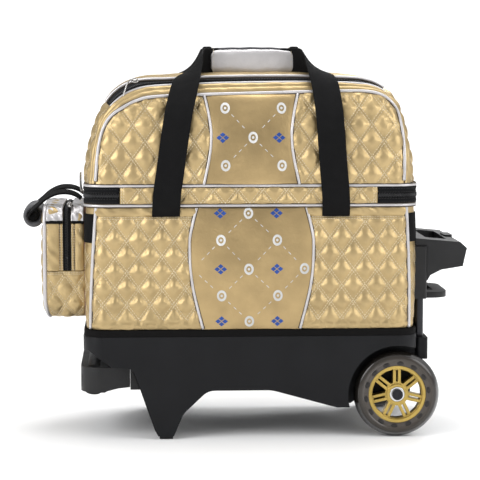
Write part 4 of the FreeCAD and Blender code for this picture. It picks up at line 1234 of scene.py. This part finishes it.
def handle_strap(name, hand, sign, line, bar_deep):
    """One strap of a carrying handle, from its sewn end to the hand bar."""
    shift = bar_deep - sign * 21
    rows = curve([(a, o, u, t) for a, o, u, t in line], 4)
    blend_in = fade(rows[:, 2], 520, 552)
    path = np.stack([hand * rows[:, 0], sign * rows[:, 1] + shift * blend_in, rows[:, 2]], axis=1)
    turn = np.radians(rows[:, 3])
    across = np.stack([np.cos(turn), np.zeros_like(turn), -hand * np.sin(turn)], axis=1)
    across[:, 0] = np.maximum(across[:, 0], 0.02)
    cup = 0.6 * np.sin(rows[:, 2] / 17)
    path[:, 1] += sign * cup * (1 - blend_in) * fade(rows[:, 2], 380, 400)
    thing = strap(name, path, across, 40.5, 2.4, "black_webbing", None)
    thing.data.update()
    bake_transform(thing)
    return thing


def box_stitch(name, middle_x, sign, body):
    """Square with a cross that sews a strap's end down."""
    half = 15
    corners = [(-half, -6), (half, -6), (half, 6), (-half, 6)]
    lines = [(corners[k], corners[(k + 1) % 4]) for k in range(4)] + [(corners[0], corners[2]), (corners[1], corners[3])]
    places, ways = stitch_rows(lines, 2.6, 0)
    centres = np.stack([middle_x + places[:, 0], np.full(len(places), sign * 139.9), 336.5 + places[:, 1]], axis=1)
    centres[:, 1] += sign * (centres[:, 2] - 336.5) * 0.36
    ahead = np.stack([ways[:, 0], np.zeros(len(ways)), ways[:, 1]], axis=1)
    normal = np.tile([0, float(sign), 0], (len(ways), 1))
    return grains(name, centres, ahead, normal, (2.1, 0.6, 0.5), "dark_thread", body)


def hand_wrap(name, ends, deep, up, half_deep, half_up, finish, body, stands_for=(), folds=0.9):
    """Padded sleeve round the hand bar, with soft folds."""
    length = ends[1] - ends[0]
    xs = np.linspace(*ends, 74)
    turn = np.linspace(0, 2 * math.pi, 40, endpoint=False)
    share = (xs - ends[0]) / length
    full = 1 - 0.10 * np.abs(2 * share - 1) ** 6
    x, angle = xs[:, None] + 0 * turn[None, :], turn[None, :] + 0 * xs[:, None]
    power = 0.62
    y = np.sign(np.cos(angle)) * np.abs(np.cos(angle)) ** power * half_deep
    z = np.sign(np.sin(angle)) * np.abs(np.sin(angle)) ** power * half_up
    fold = folds * (0.5 * np.sin(x / 6.3 + 2.2 * np.sin(angle * 2)) * np.sin(x / 17 + angle) + 0.4 * np.sin(x / 23 - angle * 3))
    scale = full[:, None] + fold / half_up
    points = np.stack([x, deep + y * scale, up + z * scale], axis=-1).reshape(-1, 3)
    uv = np.stack([x.ravel(), (angle * half_up).ravel()], axis=1)
    faces = [f[::-1] for f in grid_faces(len(xs), len(turn), False, True)]
    faces += [tuple(range(40)), tuple(range(73 * 40, 74 * 40))[::-1]]
    return build(name, points, faces, finish, body, uv, stands_for)


def carrying_handle(side, sign, bar_deep, ends, finish):
    body = f"{side}_handle"
    left = handle_strap(f"{side}_strap_left", -1, sign, STRAP_LEFT, bar_deep)
    right = handle_strap(f"{side}_strap_right", 1, sign, STRAP_RIGHT, bar_deep)
    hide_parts(f"{side}_handle_webbing")
    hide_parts(f"{side}_handle_webbing")
    box_stitch(f"{side}_box_stitch_left", -124.5, sign, "base")
    box_stitch(f"{side}_box_stitch_right", 122.8, sign, "base")
    up, half_deep, half_up = 552 if sign < 0 else 555.5, 8.6, 18
    hand_wrap(f"{side}_grip", ends, bar_deep, up, half_deep, half_up, finish, body, (f"{side}_grip_wrap",))
    for k, (a, b) in enumerate(((ends[0] - 11, ends[0] + 3), (ends[1] - 3, ends[1] + 11))):
        hand_wrap(f"{side}_grip_collar_{k}", (a, b), bar_deep, up, half_deep - 1.2, half_up + 1.6, "black_webbing", body, folds=0.2)
    for k, at in enumerate((ends[0] + 4, ends[1] - 4)):
        turn = np.linspace(0, 2 * math.pi, 26, endpoint=False)
        y = np.sign(np.cos(turn)) * np.abs(np.cos(turn)) ** 0.62 * (half_deep + 0.2)
        z = np.sign(np.sin(turn)) * np.abs(np.sin(turn)) ** 0.62 * (half_up + 0.2)
        centres = np.stack([np.full(26, at), bar_deep + y, up + z], axis=1)
        ahead = np.roll(centres, -1, axis=0) - np.roll(centres, 1, axis=0)
        normal = centres - np.array([at, bar_deep, up])
        grains(f"{side}_grip_stitch_{k}", centres, ahead, normal, (2.8, 0.7, 0.6), "thread", body)


carrying_handle("front", -1, -20, (-55, 69.5), "silver_leather")
carrying_handle("rear", 1, 26, (-55, 69.5), "lining")

# ---------------------------------------------------------------- accessory pocket

POCKET_OUT, POCKET_IN = -302.0, -243.0
POCKET_HALF, POCKET_LOW, POCKET_HIGH, POCKET_TURN = 90, 176, 338, 24
POCKET_MIDDLE = (POCKET_LOW + POCKET_HIGH) / 2
POCKET_ROUND = 4 * (POCKET_HALF + (POCKET_HIGH - POCKET_LOW) / 2 - 2 * POCKET_TURN) + 2 * math.pi * POCKET_TURN
FOLD = 245.0
FOLD_RUN = POCKET_ROUND / 4 - (POCKET_MIDDLE - FOLD)


def pocket_side(u, v):
    """The pocket's gusset: u is x, v runs from the bottom up the front side, over the top and down the back side."""
    y, z, _, _ = round_box(-v, POCKET_HALF, (POCKET_HIGH - POCKET_LOW) / 2, POCKET_TURN)
    low = np.clip((POCKET_LOW + 30 - (POCKET_MIDDLE + z)) / 30, 0, 1)
    return np.stack([u + 6 * low * low * np.clip((POCKET_IN - u) / 59, 0, 1), y, POCKET_MIDDLE + z], axis=-1)


def pocket_face(u, v):
    """The pocket's outer face; u runs towards -Y."""
    bulge = 5 * np.clip(1 - (u / POCKET_HALF) ** 2, 0, 1) * np.clip(1 - ((v - POCKET_MIDDLE) / 82) ** 2, 0, 1)
    low = np.clip((POCKET_LOW + 30 - v) / 30, 0, 1)
    return np.stack([POCKET_OUT + 6 * low * low - bulge, -u, v + np.zeros_like(u)], axis=-1)


def pocket_half_width(v):
    over = np.clip(np.maximum(v - (POCKET_HIGH - POCKET_TURN), POCKET_LOW + POCKET_TURN - v), 0, POCKET_TURN * 0.98)
    return POCKET_HALF - POCKET_TURN + np.sqrt(POCKET_TURN**2 - over**2)


def pocket_cap(start):
    """Crinkled silver piece over the pocket's top, bound in black at both ends."""
    ends = POCKET_ROUND / 4 + 60, POCKET_ROUND * 3 / 4 - 60
    vs = np.linspace(*ends, 110)
    for name, low, high, body in (("front", POCKET_OUT + 2, -275.6, "pocket_flap"), ("back", -263.4, POCKET_IN - 2, "base")):
        crush = lambda u, v: 2.8 + 0.9 * np.sin(v / 3.1 + u / 4) * np.sin(v / 7.3 - u / 3) + 0.5 * np.sin(v / 1.7 + u / 2)
        sheet(f"pocket_cap_{name}", pocket_side, np.linspace(low, high, 14), vs, "silver_leather", body, relief=crush, thick=1.0)
        for hand, at in zip("ab", ends):
            line = np.linspace(low, high, 9)
            cord(f"pocket_binding_{name}_{hand}", raised(pocket_side, line, np.full(9, at), np.full(9, 2.2)), 2.4, "black_webbing", body)


def accessory_pocket():
    bends = lambda thing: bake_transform(thing)
    face = quilted("pocket_face", pocket_face, lambda v: -pocket_half_width(v), pocket_half_width, constant(POCKET_LOW + 1),
                   constant(POCKET_HIGH - 1), (36, 44), None, (0, 257), puff=4.5, margin=(6, 6), stitched=False,
                   stands_for=("pocket_front_half",))
    lines = diamond_lines(-POCKET_HALF, POCKET_HALF, POCKET_LOW, POCKET_HIGH, (36, 44), (0, 257))
    places, ways = stitch_rows(lines, 4.3)
    inside = (np.abs(places[:, 0]) < pocket_half_width(places[:, 1]) - 4) & (np.abs(places[:, 1] - POCKET_MIDDLE) < 72)
    bends(sew("pocket_face_stitches", pocket_face, face, places[inside], ways[inside], None))
    bends(face)
    whole = np.linspace(0, POCKET_ROUND, 220, endpoint=False)
    edge = pocket_side(np.full(220, POCKET_OUT - 0.5), whole)
    bends(cord("pocket_piping", edge, 3.0, "silver_leather", None, True))
    inner = pocket_side(np.full(220, POCKET_IN + 0.2), whole) * (1, 1.005, 1)
    # Dark cord along the pocket's inner edge: painted shadow of the gap between the pocket and the bag's end.
    cord("pocket_back_shade_line", inner, 1.8, "pocket_gap_shade", "base", True)

    lower = quilted("pocket_lower", pocket_side, constant(POCKET_OUT + 1), constant(POCKET_IN - 1), constant(-FOLD_RUN), constant(FOLD_RUN),
                    (30, 44), "base", (-273, 100), puff=2.6, margin=(5, 5), stands_for=("pocket_lower_box",))
    double_seam("pocket_seam_back", lambda u, v: pocket_side(u, v), lower, POCKET_OUT + 3, POCKET_IN - 3, -FOLD_RUN + 3, "base")
    double_seam("pocket_seam_front", lambda u, v: pocket_side(u, v), lower, POCKET_OUT + 3, POCKET_IN - 3, FOLD_RUN - 3, "base")
    start, end = FOLD_RUN + 0.5, POCKET_ROUND - FOLD_RUN - 0.5
    vs = np.linspace(start, end, 180)
    strips = [
        ("pocket_front_gusset", POCKET_OUT + 1, -280, "gold_leather", "pocket_flap", 2.8, 12),
        ("pocket_front_edge", -280, -275.3, "gold_leather", "pocket_flap", 1.4, 6),
        ("pocket_back_edge", -263.7, -259, "gold_leather", "base", 1.4, 6),
        ("pocket_back_gusset", -259, POCKET_IN - 1, "gold_leather", "base", 2.2, 10),
        ("pocket_zip_tape_front", -275.3, -270.0, "zip_fabric", "pocket_flap", 0.3, 5),
        ("pocket_zip_tape_back", -269.2, -263.7, "zip_fabric", "base", 0.3, 5),
    ]
    for name, low, high, finish, body, puff, count in strips:
        rise = lambda u, v: puff * np.maximum(np.sin(math.pi * (u - low) / (high - low)), 0) ** 0.6 * (1 + 0.35 * np.sin(v / 5.1 + 2 * np.sin(v / 13 + u / 9)))
        piece = sheet(name, pocket_side, np.linspace(low, high, count), vs, finish, body, relief=rise, thick=1.4)
        if name == "pocket_back_gusset":
            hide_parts("pocket_back_half")
    for name, at, body in (("front", -270.9, "pocket_flap"), ("back", -268.7, "base")):
        run = np.arange(start + 2, end - 2, 2.4) + (0.6 if name == "front" else -0.6)
        places = raised(pocket_side, np.full(len(run), at), run, np.full(len(run), 1.0))
        out = places - pocket_side(np.full(len(run), at), run)
        grains(f"pocket_coil_{name}", places, np.tile([1.0, 0, 0], (len(run), 1)), out, (3, 1.2, 1.4), "zip_coil", body)
    for k, at in enumerate((-298, -280.9, -279.1, -276.2, -262.8, -259.9, -258.1, -251)):
        body = "pocket_flap" if at < -270 else "base"
        run = np.arange(start + 2, end - 2, 3.8)
        places = raised(pocket_side, np.full(len(run), at), run, np.full(len(run), 1.5))
        out = places - pocket_side(np.full(len(run), at), run)
        ways = pocket_side(np.full(len(run), at), run + 0.5) - pocket_side(np.full(len(run), at), run - 0.5)
        grains(f"pocket_edge_stitches_{k}", places, ways, out, (2.8, 0.7, 0.6), "thread", body)
    pocket_cap(start)
    inner_wall = lambda u, v: np.stack([np.full_like(u, -246.0), -u, v], axis=-1)
    share, v = np.meshgrid(np.linspace(-1, 1, 24), np.linspace(POCKET_LOW + 3, POCKET_HIGH - 3, 24))
    u = share * (pocket_half_width(v) - 2)
    build("pocket_lining", inner_wall(u, v).reshape(-1, 3), grid_faces(24, 24), "lining", "base")


# Dark reddish brown of the painted shadow line along the pocket's inner edge.
FINISH["pocket_gap_shade"] = moulded("pocket_gap_shade", (0.09, 0.04, 0.03), 0.5, 800)
accessory_pocket()

# ---------------------------------------------------------------- side grip


def side_grip():
    """Short handle above the pocket: two straps, a rolled core and a moulded sleeve."""
    low, high = node_box("side_grip_sleeve")
    centre_x, centre_z = (low[0] + high[0]) / 2 - MIDDLE, (low[2] + high[2]) / 2
    half = (high[1] - low[1]) / 2
    radius = (high[2] - low[2]) / 2
    run = np.linspace(-half, half, 30)
    profile = [(8.2, -half + 5), (9.8, -half + 1.2), (12.5, -half)]
    profile += [(radius - 0.4 - 0.8 * (abs(y) / half) ** 2 + 0.35 * math.cos(y / 3.1), y) for y in run[1:-1]]
    profile += [(12.5, half), (9.8, half - 1.2), (8.2, half - 5)]
    sleeve = lathe("side_grip_sleeve_moulding", profile, (centre_x - 1.5, 0, centre_z - 1), "grip_rubber", None, 48, (1.05, 1.16))
    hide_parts("side_grip_sleeve")
    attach(sleeve, "side_grip")
    core = [(centre_x, y, centre_z) for y in np.linspace(-64, 64, 40)]
    cord("side_grip_core", np.array(core), 7.6, "black_webbing", "side_grip", segments=16)
    for k, side in enumerate((-1, 1)):
        points = [(-249, side * 60, 350), (-256, side * 60, 355.5), (-268, side * 59.5, 359.5), (-284, side * 58.5, 359),
                  (-300, side * 57.5, 352), (-313, side * 57, 341), (centre_x - 4, side * 57, 331), (centre_x - 7, side * 57, 322)]
        path = curve(points, 3)
        lean = np.linspace(0.12, 0.5, len(path))
        across = np.stack([0.4 * lean, np.ones(len(path)), -side * lean * 0 + lean], axis=1)
        piece = strap(f"side_grip_strap_{k}", path, across, 20, 3.0, "black_webbing", "side_grip")
        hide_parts("side_grip_webbing")


side_grip()

# ---------------------------------------------------------------- zip sliders


def ring_bar(name, corners, radius, finish, body, segments=8):
    """A closed wire through rounded corners."""
    return cord(name, curve(corners, 1.2, True), radius, finish, body, True, segments)


def slider(name, middle, out, along, body, node, drop=26, wide=5.0):
    """Zip slider: a saddle with a bridge; out points off the zip, along runs with it."""
    out, along = unit(np.array(out, float)), unit(np.array(along, float))
    third = np.cross(out, along)
    middle = np.array(middle, float)
    outline = [(math.cos(a) * (6.2 if math.cos(a) > 0 else 5.0), math.sin(a) * 4.6) for a in np.linspace(0, 2 * math.pi, 24, endpoint=False)]
    levels = [(-1.6, 0.9), (-1.2, 1.0), (0.8, 1.0), (1.6, 0.86), (2.0, 0.6)]
    points = [middle + along * a * s + third * b * s + out * h for h, s in levels for a, b in outline]
    faces = grid_faces(len(levels), 24, False, True) + [tuple(range(24))[::-1], tuple(range(96, 120))]
    saddle = build(f"{name}_saddle", points, faces, "zip_metal", body)
    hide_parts(node)
    bridge = [middle + along * a + out * h for a, h in ((-4, 1.6), (-3.4, 3.6), (0, 4.6), (3.2, 3.6), (4, 1.6))]
    cord(f"{name}_bridge", curve(bridge, 0.7), 0.9, "zip_metal", body, segments=8)
    return saddle


def zip_pulls():
    for side, sign in (("near", -1), ("far", 1)):
        middle = (-HALF_X - 6.6, sign * 7, ZIP_LINE)
        slider(f"main_zip_{side}", middle, (-1, 0, 0), (0, sign, 0), f"main_zip_{side}", f"main_zip_slider_{side}")
        x = -HALF_X - 10.4
        loop = [(x, sign * 7 - 2.2, ZIP_LINE - 2), (x, sign * 7 + 2.2, ZIP_LINE - 2), (x - 1.4, sign * 7 + 3, ZIP_LINE + 8),
                (x - 1.6, sign * 7 + 3, ZIP_LINE + 23), (x - 1.4, sign * 7, ZIP_LINE + 26), (x - 1.6, sign * 7 - 3, ZIP_LINE + 23),
                (x - 1.4, sign * 7 - 3, ZIP_LINE + 8)]
        ring_bar(f"main_zip_{side}_pull", np.array(loop), 1.35, "zip_metal", f"main_zip_{side}")
    low, high = node_box("shoe_zip_slider")
    middle = (low + high) / 2 - (MIDDLE, 0, 0)
    slider("shoe_zip", middle, (0, -0.7, 0.7), (1, 0, 0), "shoe_zip", "shoe_zip_slider")
    end = middle + (-9, -4, 0)
    loop = [middle + (-3, -2.5, 2.5), end + (0, -1.5, -2), end + (-5, -3.5, -14), end + (-8, -5, -26), end + (-9.5, -3, -28), end + (-9, -1.5, -26),
            end + (-5.5, -0.5, -14), end + (-1, 1.5, -2)]
    ring_bar("shoe_zip_pull", np.array(loop), 0.8, "zip_metal", "shoe_zip")
    low, high = node_box("pocket_zip_slider")
    middle = (low + high) / 2 - (MIDDLE, 0, 0)
    slider("pocket_zip", middle, (0, 0, 1), (0, 1, 0), "pocket_zip", "pocket_zip_slider")
    beads = [middle + (3 * math.sin(k * 0.9) - 1.5, -6 - 4.2 * k, 4.6 + 0.6 * math.cos(k * 1.3)) for k in range(5)]
    for k, bead in enumerate(beads):
        lathe(f"pocket_zip_bead_{k}", [(0.05, -1.7), (1.2, -1.3), (1.8, 0), (1.2, 1.3), (0.05, 1.7)], bead, "zip_metal", "pocket_zip", 12)
    cord("pocket_zip_cord", curve([middle + (0, -4, 2)] + beads, 1.5), 0.5, "dark_thread", "pocket_zip", segments=6)


zip_pulls()

# ---------------------------------------------------------------- wheels


def wheels():
    """Smoky cast tyres on their gold hubs, with the hub's lugs showing dark through both flanks."""
    lugs = 14
    for side in ("near", "far"):
        low, high = node_box(f"{side}_wheel_tyre")
        hub_low, hub_high = node_box(f"{side}_wheel_hub")
        middle = (low + high) / 2 - (MIDDLE, 0, 0)
        outer, half = (high[2] - low[2]) / 2, (high[1] - low[1]) / 2
        inner = (hub_high[2] - hub_low[2]) / 2
        flank = [(inner, 0.76), (inner + 0.8, 0.88), (inner + 6.5, 0.9), (inner + 8.5, 0.97), (inner + 11, 1.0), (outer - 5, 0.84),
                 (outer - 1.8, 0.5), (outer - 0.3, 0.2), (outer, 0)]
        flank = curve([(radius, -half * share) for radius, share in flank], 0.9)
        tyre = lathe(f"{side}_wheel_casting", np.vstack([flank, (flank * (1, -1))[::-1][1:]]), middle, "tyre", f"{side}_wheel", 120)
        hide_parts(f"{side}_wheel_tyre")
        turn = np.linspace(0, 2 * math.pi, 16, endpoint=False)
        points, faces = [], []
        for face in (-1, 1):
            for k in range(lugs):
                angle = 2 * math.pi * (k + 0.2) / lugs
                for grow, rise in ((1.0, 0.86), (1.0, 0.915), (0.8, 0.94)):
                    out = inner + 4.0 + 3.1 * grow * np.sin(turn)
                    along = 5.0 * grow * np.cos(turn) * face
                    points += [middle + (r * math.sin(angle) + a * math.cos(angle), face * half * rise,
                                         r * math.cos(angle) - a * math.sin(angle)) for r, a in zip(out, along)]
                base = len(points) - 48
                faces += [tuple(base + n for n in ring) for ring in grid_faces(3, 16, False, True)]
                faces.append(tuple(base + 32 + n for n in range(16)))
        build(f"{side}_wheel_lugs", points, faces, "tyre_lug", f"{side}_wheel")


wheels()

# ---------------------------------------------------------------- carried-over CAD nodes


def finish_nodes():
    """Every CAD node that stays gets its finish and softened edges."""
    for name, node in NODES.items():
        if node.hide_render:
            continue
        finish = NODE_FINISH.get(name, "base_plastic")
        node.data.materials.clear()
        node.data.materials.append(FINISH[finish])
        weld = node.modifiers.new("Weld", "WELD")
        weld.merge_threshold = 0.00002
        soften = node.modifiers.new("Soft edges", "BEVEL")
        soften.width = NODE_EDGE.get(name, 0.6) / 1000
        soften.segments = 3
        soften.limit_method = "ANGLE"
        soften.angle_limit = math.radians(32)
        soften.harden_normals = True


NODE_EDGE = {"base_tub": 2.0, "base_lift_handle": 2.0, "pull_head": 1.8, "tube_bezel": 1.5, "tube_foot_block": 1.2, "base_trim_band": 1.6}
NODE_FINISH = {
    "pull_head": "handle_plastic", "pull_release_button": "handle_plastic", "tube_bezel": "handle_plastic",
    "base_lift_handle": "handle_plastic", "lift_handle_brackets": "handle_plastic", "base_trim_band": "trim_rubber", "leg_soles": "sole_rubber", "foam_cup_left": "cup_foam", "foam_cup_right": "cup_foam",
    "wheel_axle": "axle_steel", "axle_bolt_heads": "dark_steel", "axle_spacers": "axle_steel", "outer_tubes": "tube_metal",
    "ball_compartment_shell": "lining", "bay_divider": "lining", "near_wheel_tyre": "tyre", "far_wheel_tyre": "tyre",
    "near_wheel_hub": "hub_gold", "far_wheel_hub": "hub_gold", "near_wheel_bearings": "bearing_steel",
    "far_wheel_bearings": "bearing_steel", "pull_stage_1_tubes": "tube_metal", "pull_stage_2_tubes": "tube_metal",
    "pull_stage_3_tubes": "tube_metal", "pull_stage_4_tubes": "tube_metal", "lid_floor": "board", "lid_shell": "lining",
    "shoe_zip_slider": "zip_metal", "main_zip_slider_near": "zip_metal", "main_zip_slider_far": "zip_metal",
    "pocket_zip_slider": "zip_metal", "front_handle_webbing": "black_webbing", "rear_handle_webbing": "black_webbing",
    "front_grip_wrap": "silver_leather", "rear_grip_wrap": "zip_fabric", "side_grip_webbing": "black_webbing",
    "side_grip_sleeve": "grip_rubber", "pocket_lower_box": "gold_leather", "pocket_back_half": "gold_leather",
    "pocket_front_half": "gold_leather",
}
finish_nodes()


# ---------------------------------------------------------------- floor, light and camera


def studio():
    """Plain pale floor, soft light and the camera."""
    scene = bpy.context.scene
    mesh = bpy.data.meshes.new("floor")
    reach = 60.0
    mesh.from_pydata([(-reach, -reach, 0), (reach, -reach, 0), (reach, reach, 0), (-reach, reach, 0)], [], [(0, 1, 2, 3)])
    floor = bpy.data.objects.new("floor", mesh)
    scene.collection.objects.link(floor)
    pale = Finish("pale_floor", (0.90, 0.90, 0.90), 0.6)
    pale.tint(pale.noise(3, 2), 0.985, 1.01)
    away = pale.node("ShaderNodeVectorMath", operation="LENGTH")
    pale.link(pale.where("Object"), away.inputs[0])
    far = pale.node("ShaderNodeMapRange")
    pale.link(away.outputs["Value"], far.inputs["Value"])
    for name, value in (("From Min", 1.0), ("From Max", 4.0), ("To Min", 0.0), ("To Max", 0.7)):
        far.inputs[name].default_value = value
    pale.link(far.outputs["Result"], pale.shader.inputs["Emission Strength"])
    pale.shader.inputs["Emission Color"].default_value = (1, 1, 1, 1)
    mesh.materials.append(pale.material)
    world = bpy.data.worlds.new("studio")
    scene.world = world
    world.use_nodes = True
    backdrop = world.node_tree.nodes["Background"]
    sky = world.node_tree.nodes.new("ShaderNodeTexCoord")
    split = world.node_tree.nodes.new("ShaderNodeSeparateXYZ")
    shade = world.node_tree.nodes.new("ShaderNodeValToRGB")
    for place, level in ((0.0, 1.0), (0.12, 0.95), (0.38, 0.42), (1.0, 0.5)):
        stop = shade.color_ramp.elements.new(place) if place not in (0.0, 1.0) else shade.color_ramp.elements[int(place)]
        stop.color = (level * 0.98, level * 0.99, level, 1)
    world.node_tree.links.new(sky.outputs["Generated"], split.inputs[0])
    world.node_tree.links.new(split.outputs["Z"], shade.inputs["Fac"])
    world.node_tree.links.new(shade.outputs["Color"], backdrop.inputs["Color"])
    seen = world.node_tree.nodes.new("ShaderNodeBackground")
    mix = world.node_tree.nodes.new("ShaderNodeMixShader")
    path = world.node_tree.nodes.new("ShaderNodeLightPath")
    world.node_tree.links.new(path.outputs["Is Camera Ray"], mix.inputs["Fac"])
    world.node_tree.links.new(backdrop.outputs[0], mix.inputs[1])
    world.node_tree.links.new(seen.outputs[0], mix.inputs[2])
    world.node_tree.links.new(mix.outputs[0], world.node_tree.nodes["World Output"].inputs[0])
    seen.inputs["Color"].default_value = (1, 1, 1, 1)
    seen.inputs["Strength"].default_value = 1.2
    backdrop.inputs["Strength"].default_value = 0.95
    target = Vector((0, 0, 0.28))
    lamps = [
        ("key", (-1.75, -1.15, 1.35), 1.6, 36), ("fill", (1.85, -1.15, 1.3), 1.6, 26),
        ("top", (0.2, 0.5, 2.6), 1.8, 34), ("back", (1.2, 2.4, 2.2), 1.6, 34),
    ]
    for name, place, size, power in lamps:
        data = bpy.data.lights.new(name, "AREA")
        data.energy = power
        data.shape = "DISK"
        data.size = size
        lamp = bpy.data.objects.new(name, data)
        lamp.location = place
        lamp.rotation_euler = (target - Vector(place)).to_track_quat("-Z", "Y").to_euler()
        lamp.visible_camera = False
        scene.collection.objects.link(lamp)
    lens = bpy.data.cameras.new("camera")
    lens.lens, lens.sensor_width = 142.5, 36
    camera = bpy.data.objects.new("camera", lens)
    aim = Vector((MIDDLE - 10, 0, 281)) / 1000
    turn, rise = math.radians(-3), math.radians(5.5)
    back = Vector((math.sin(turn) * math.cos(rise), -math.cos(turn) * math.cos(rise), math.sin(rise)))
    camera.location = aim + back * 2.9
    camera.rotation_euler = (-back).to_track_quat("-Z", "Y").to_euler()
    scene.collection.objects.link(camera)
    scene.camera = camera
    scene.view_settings.view_transform = "Standard"


studio()
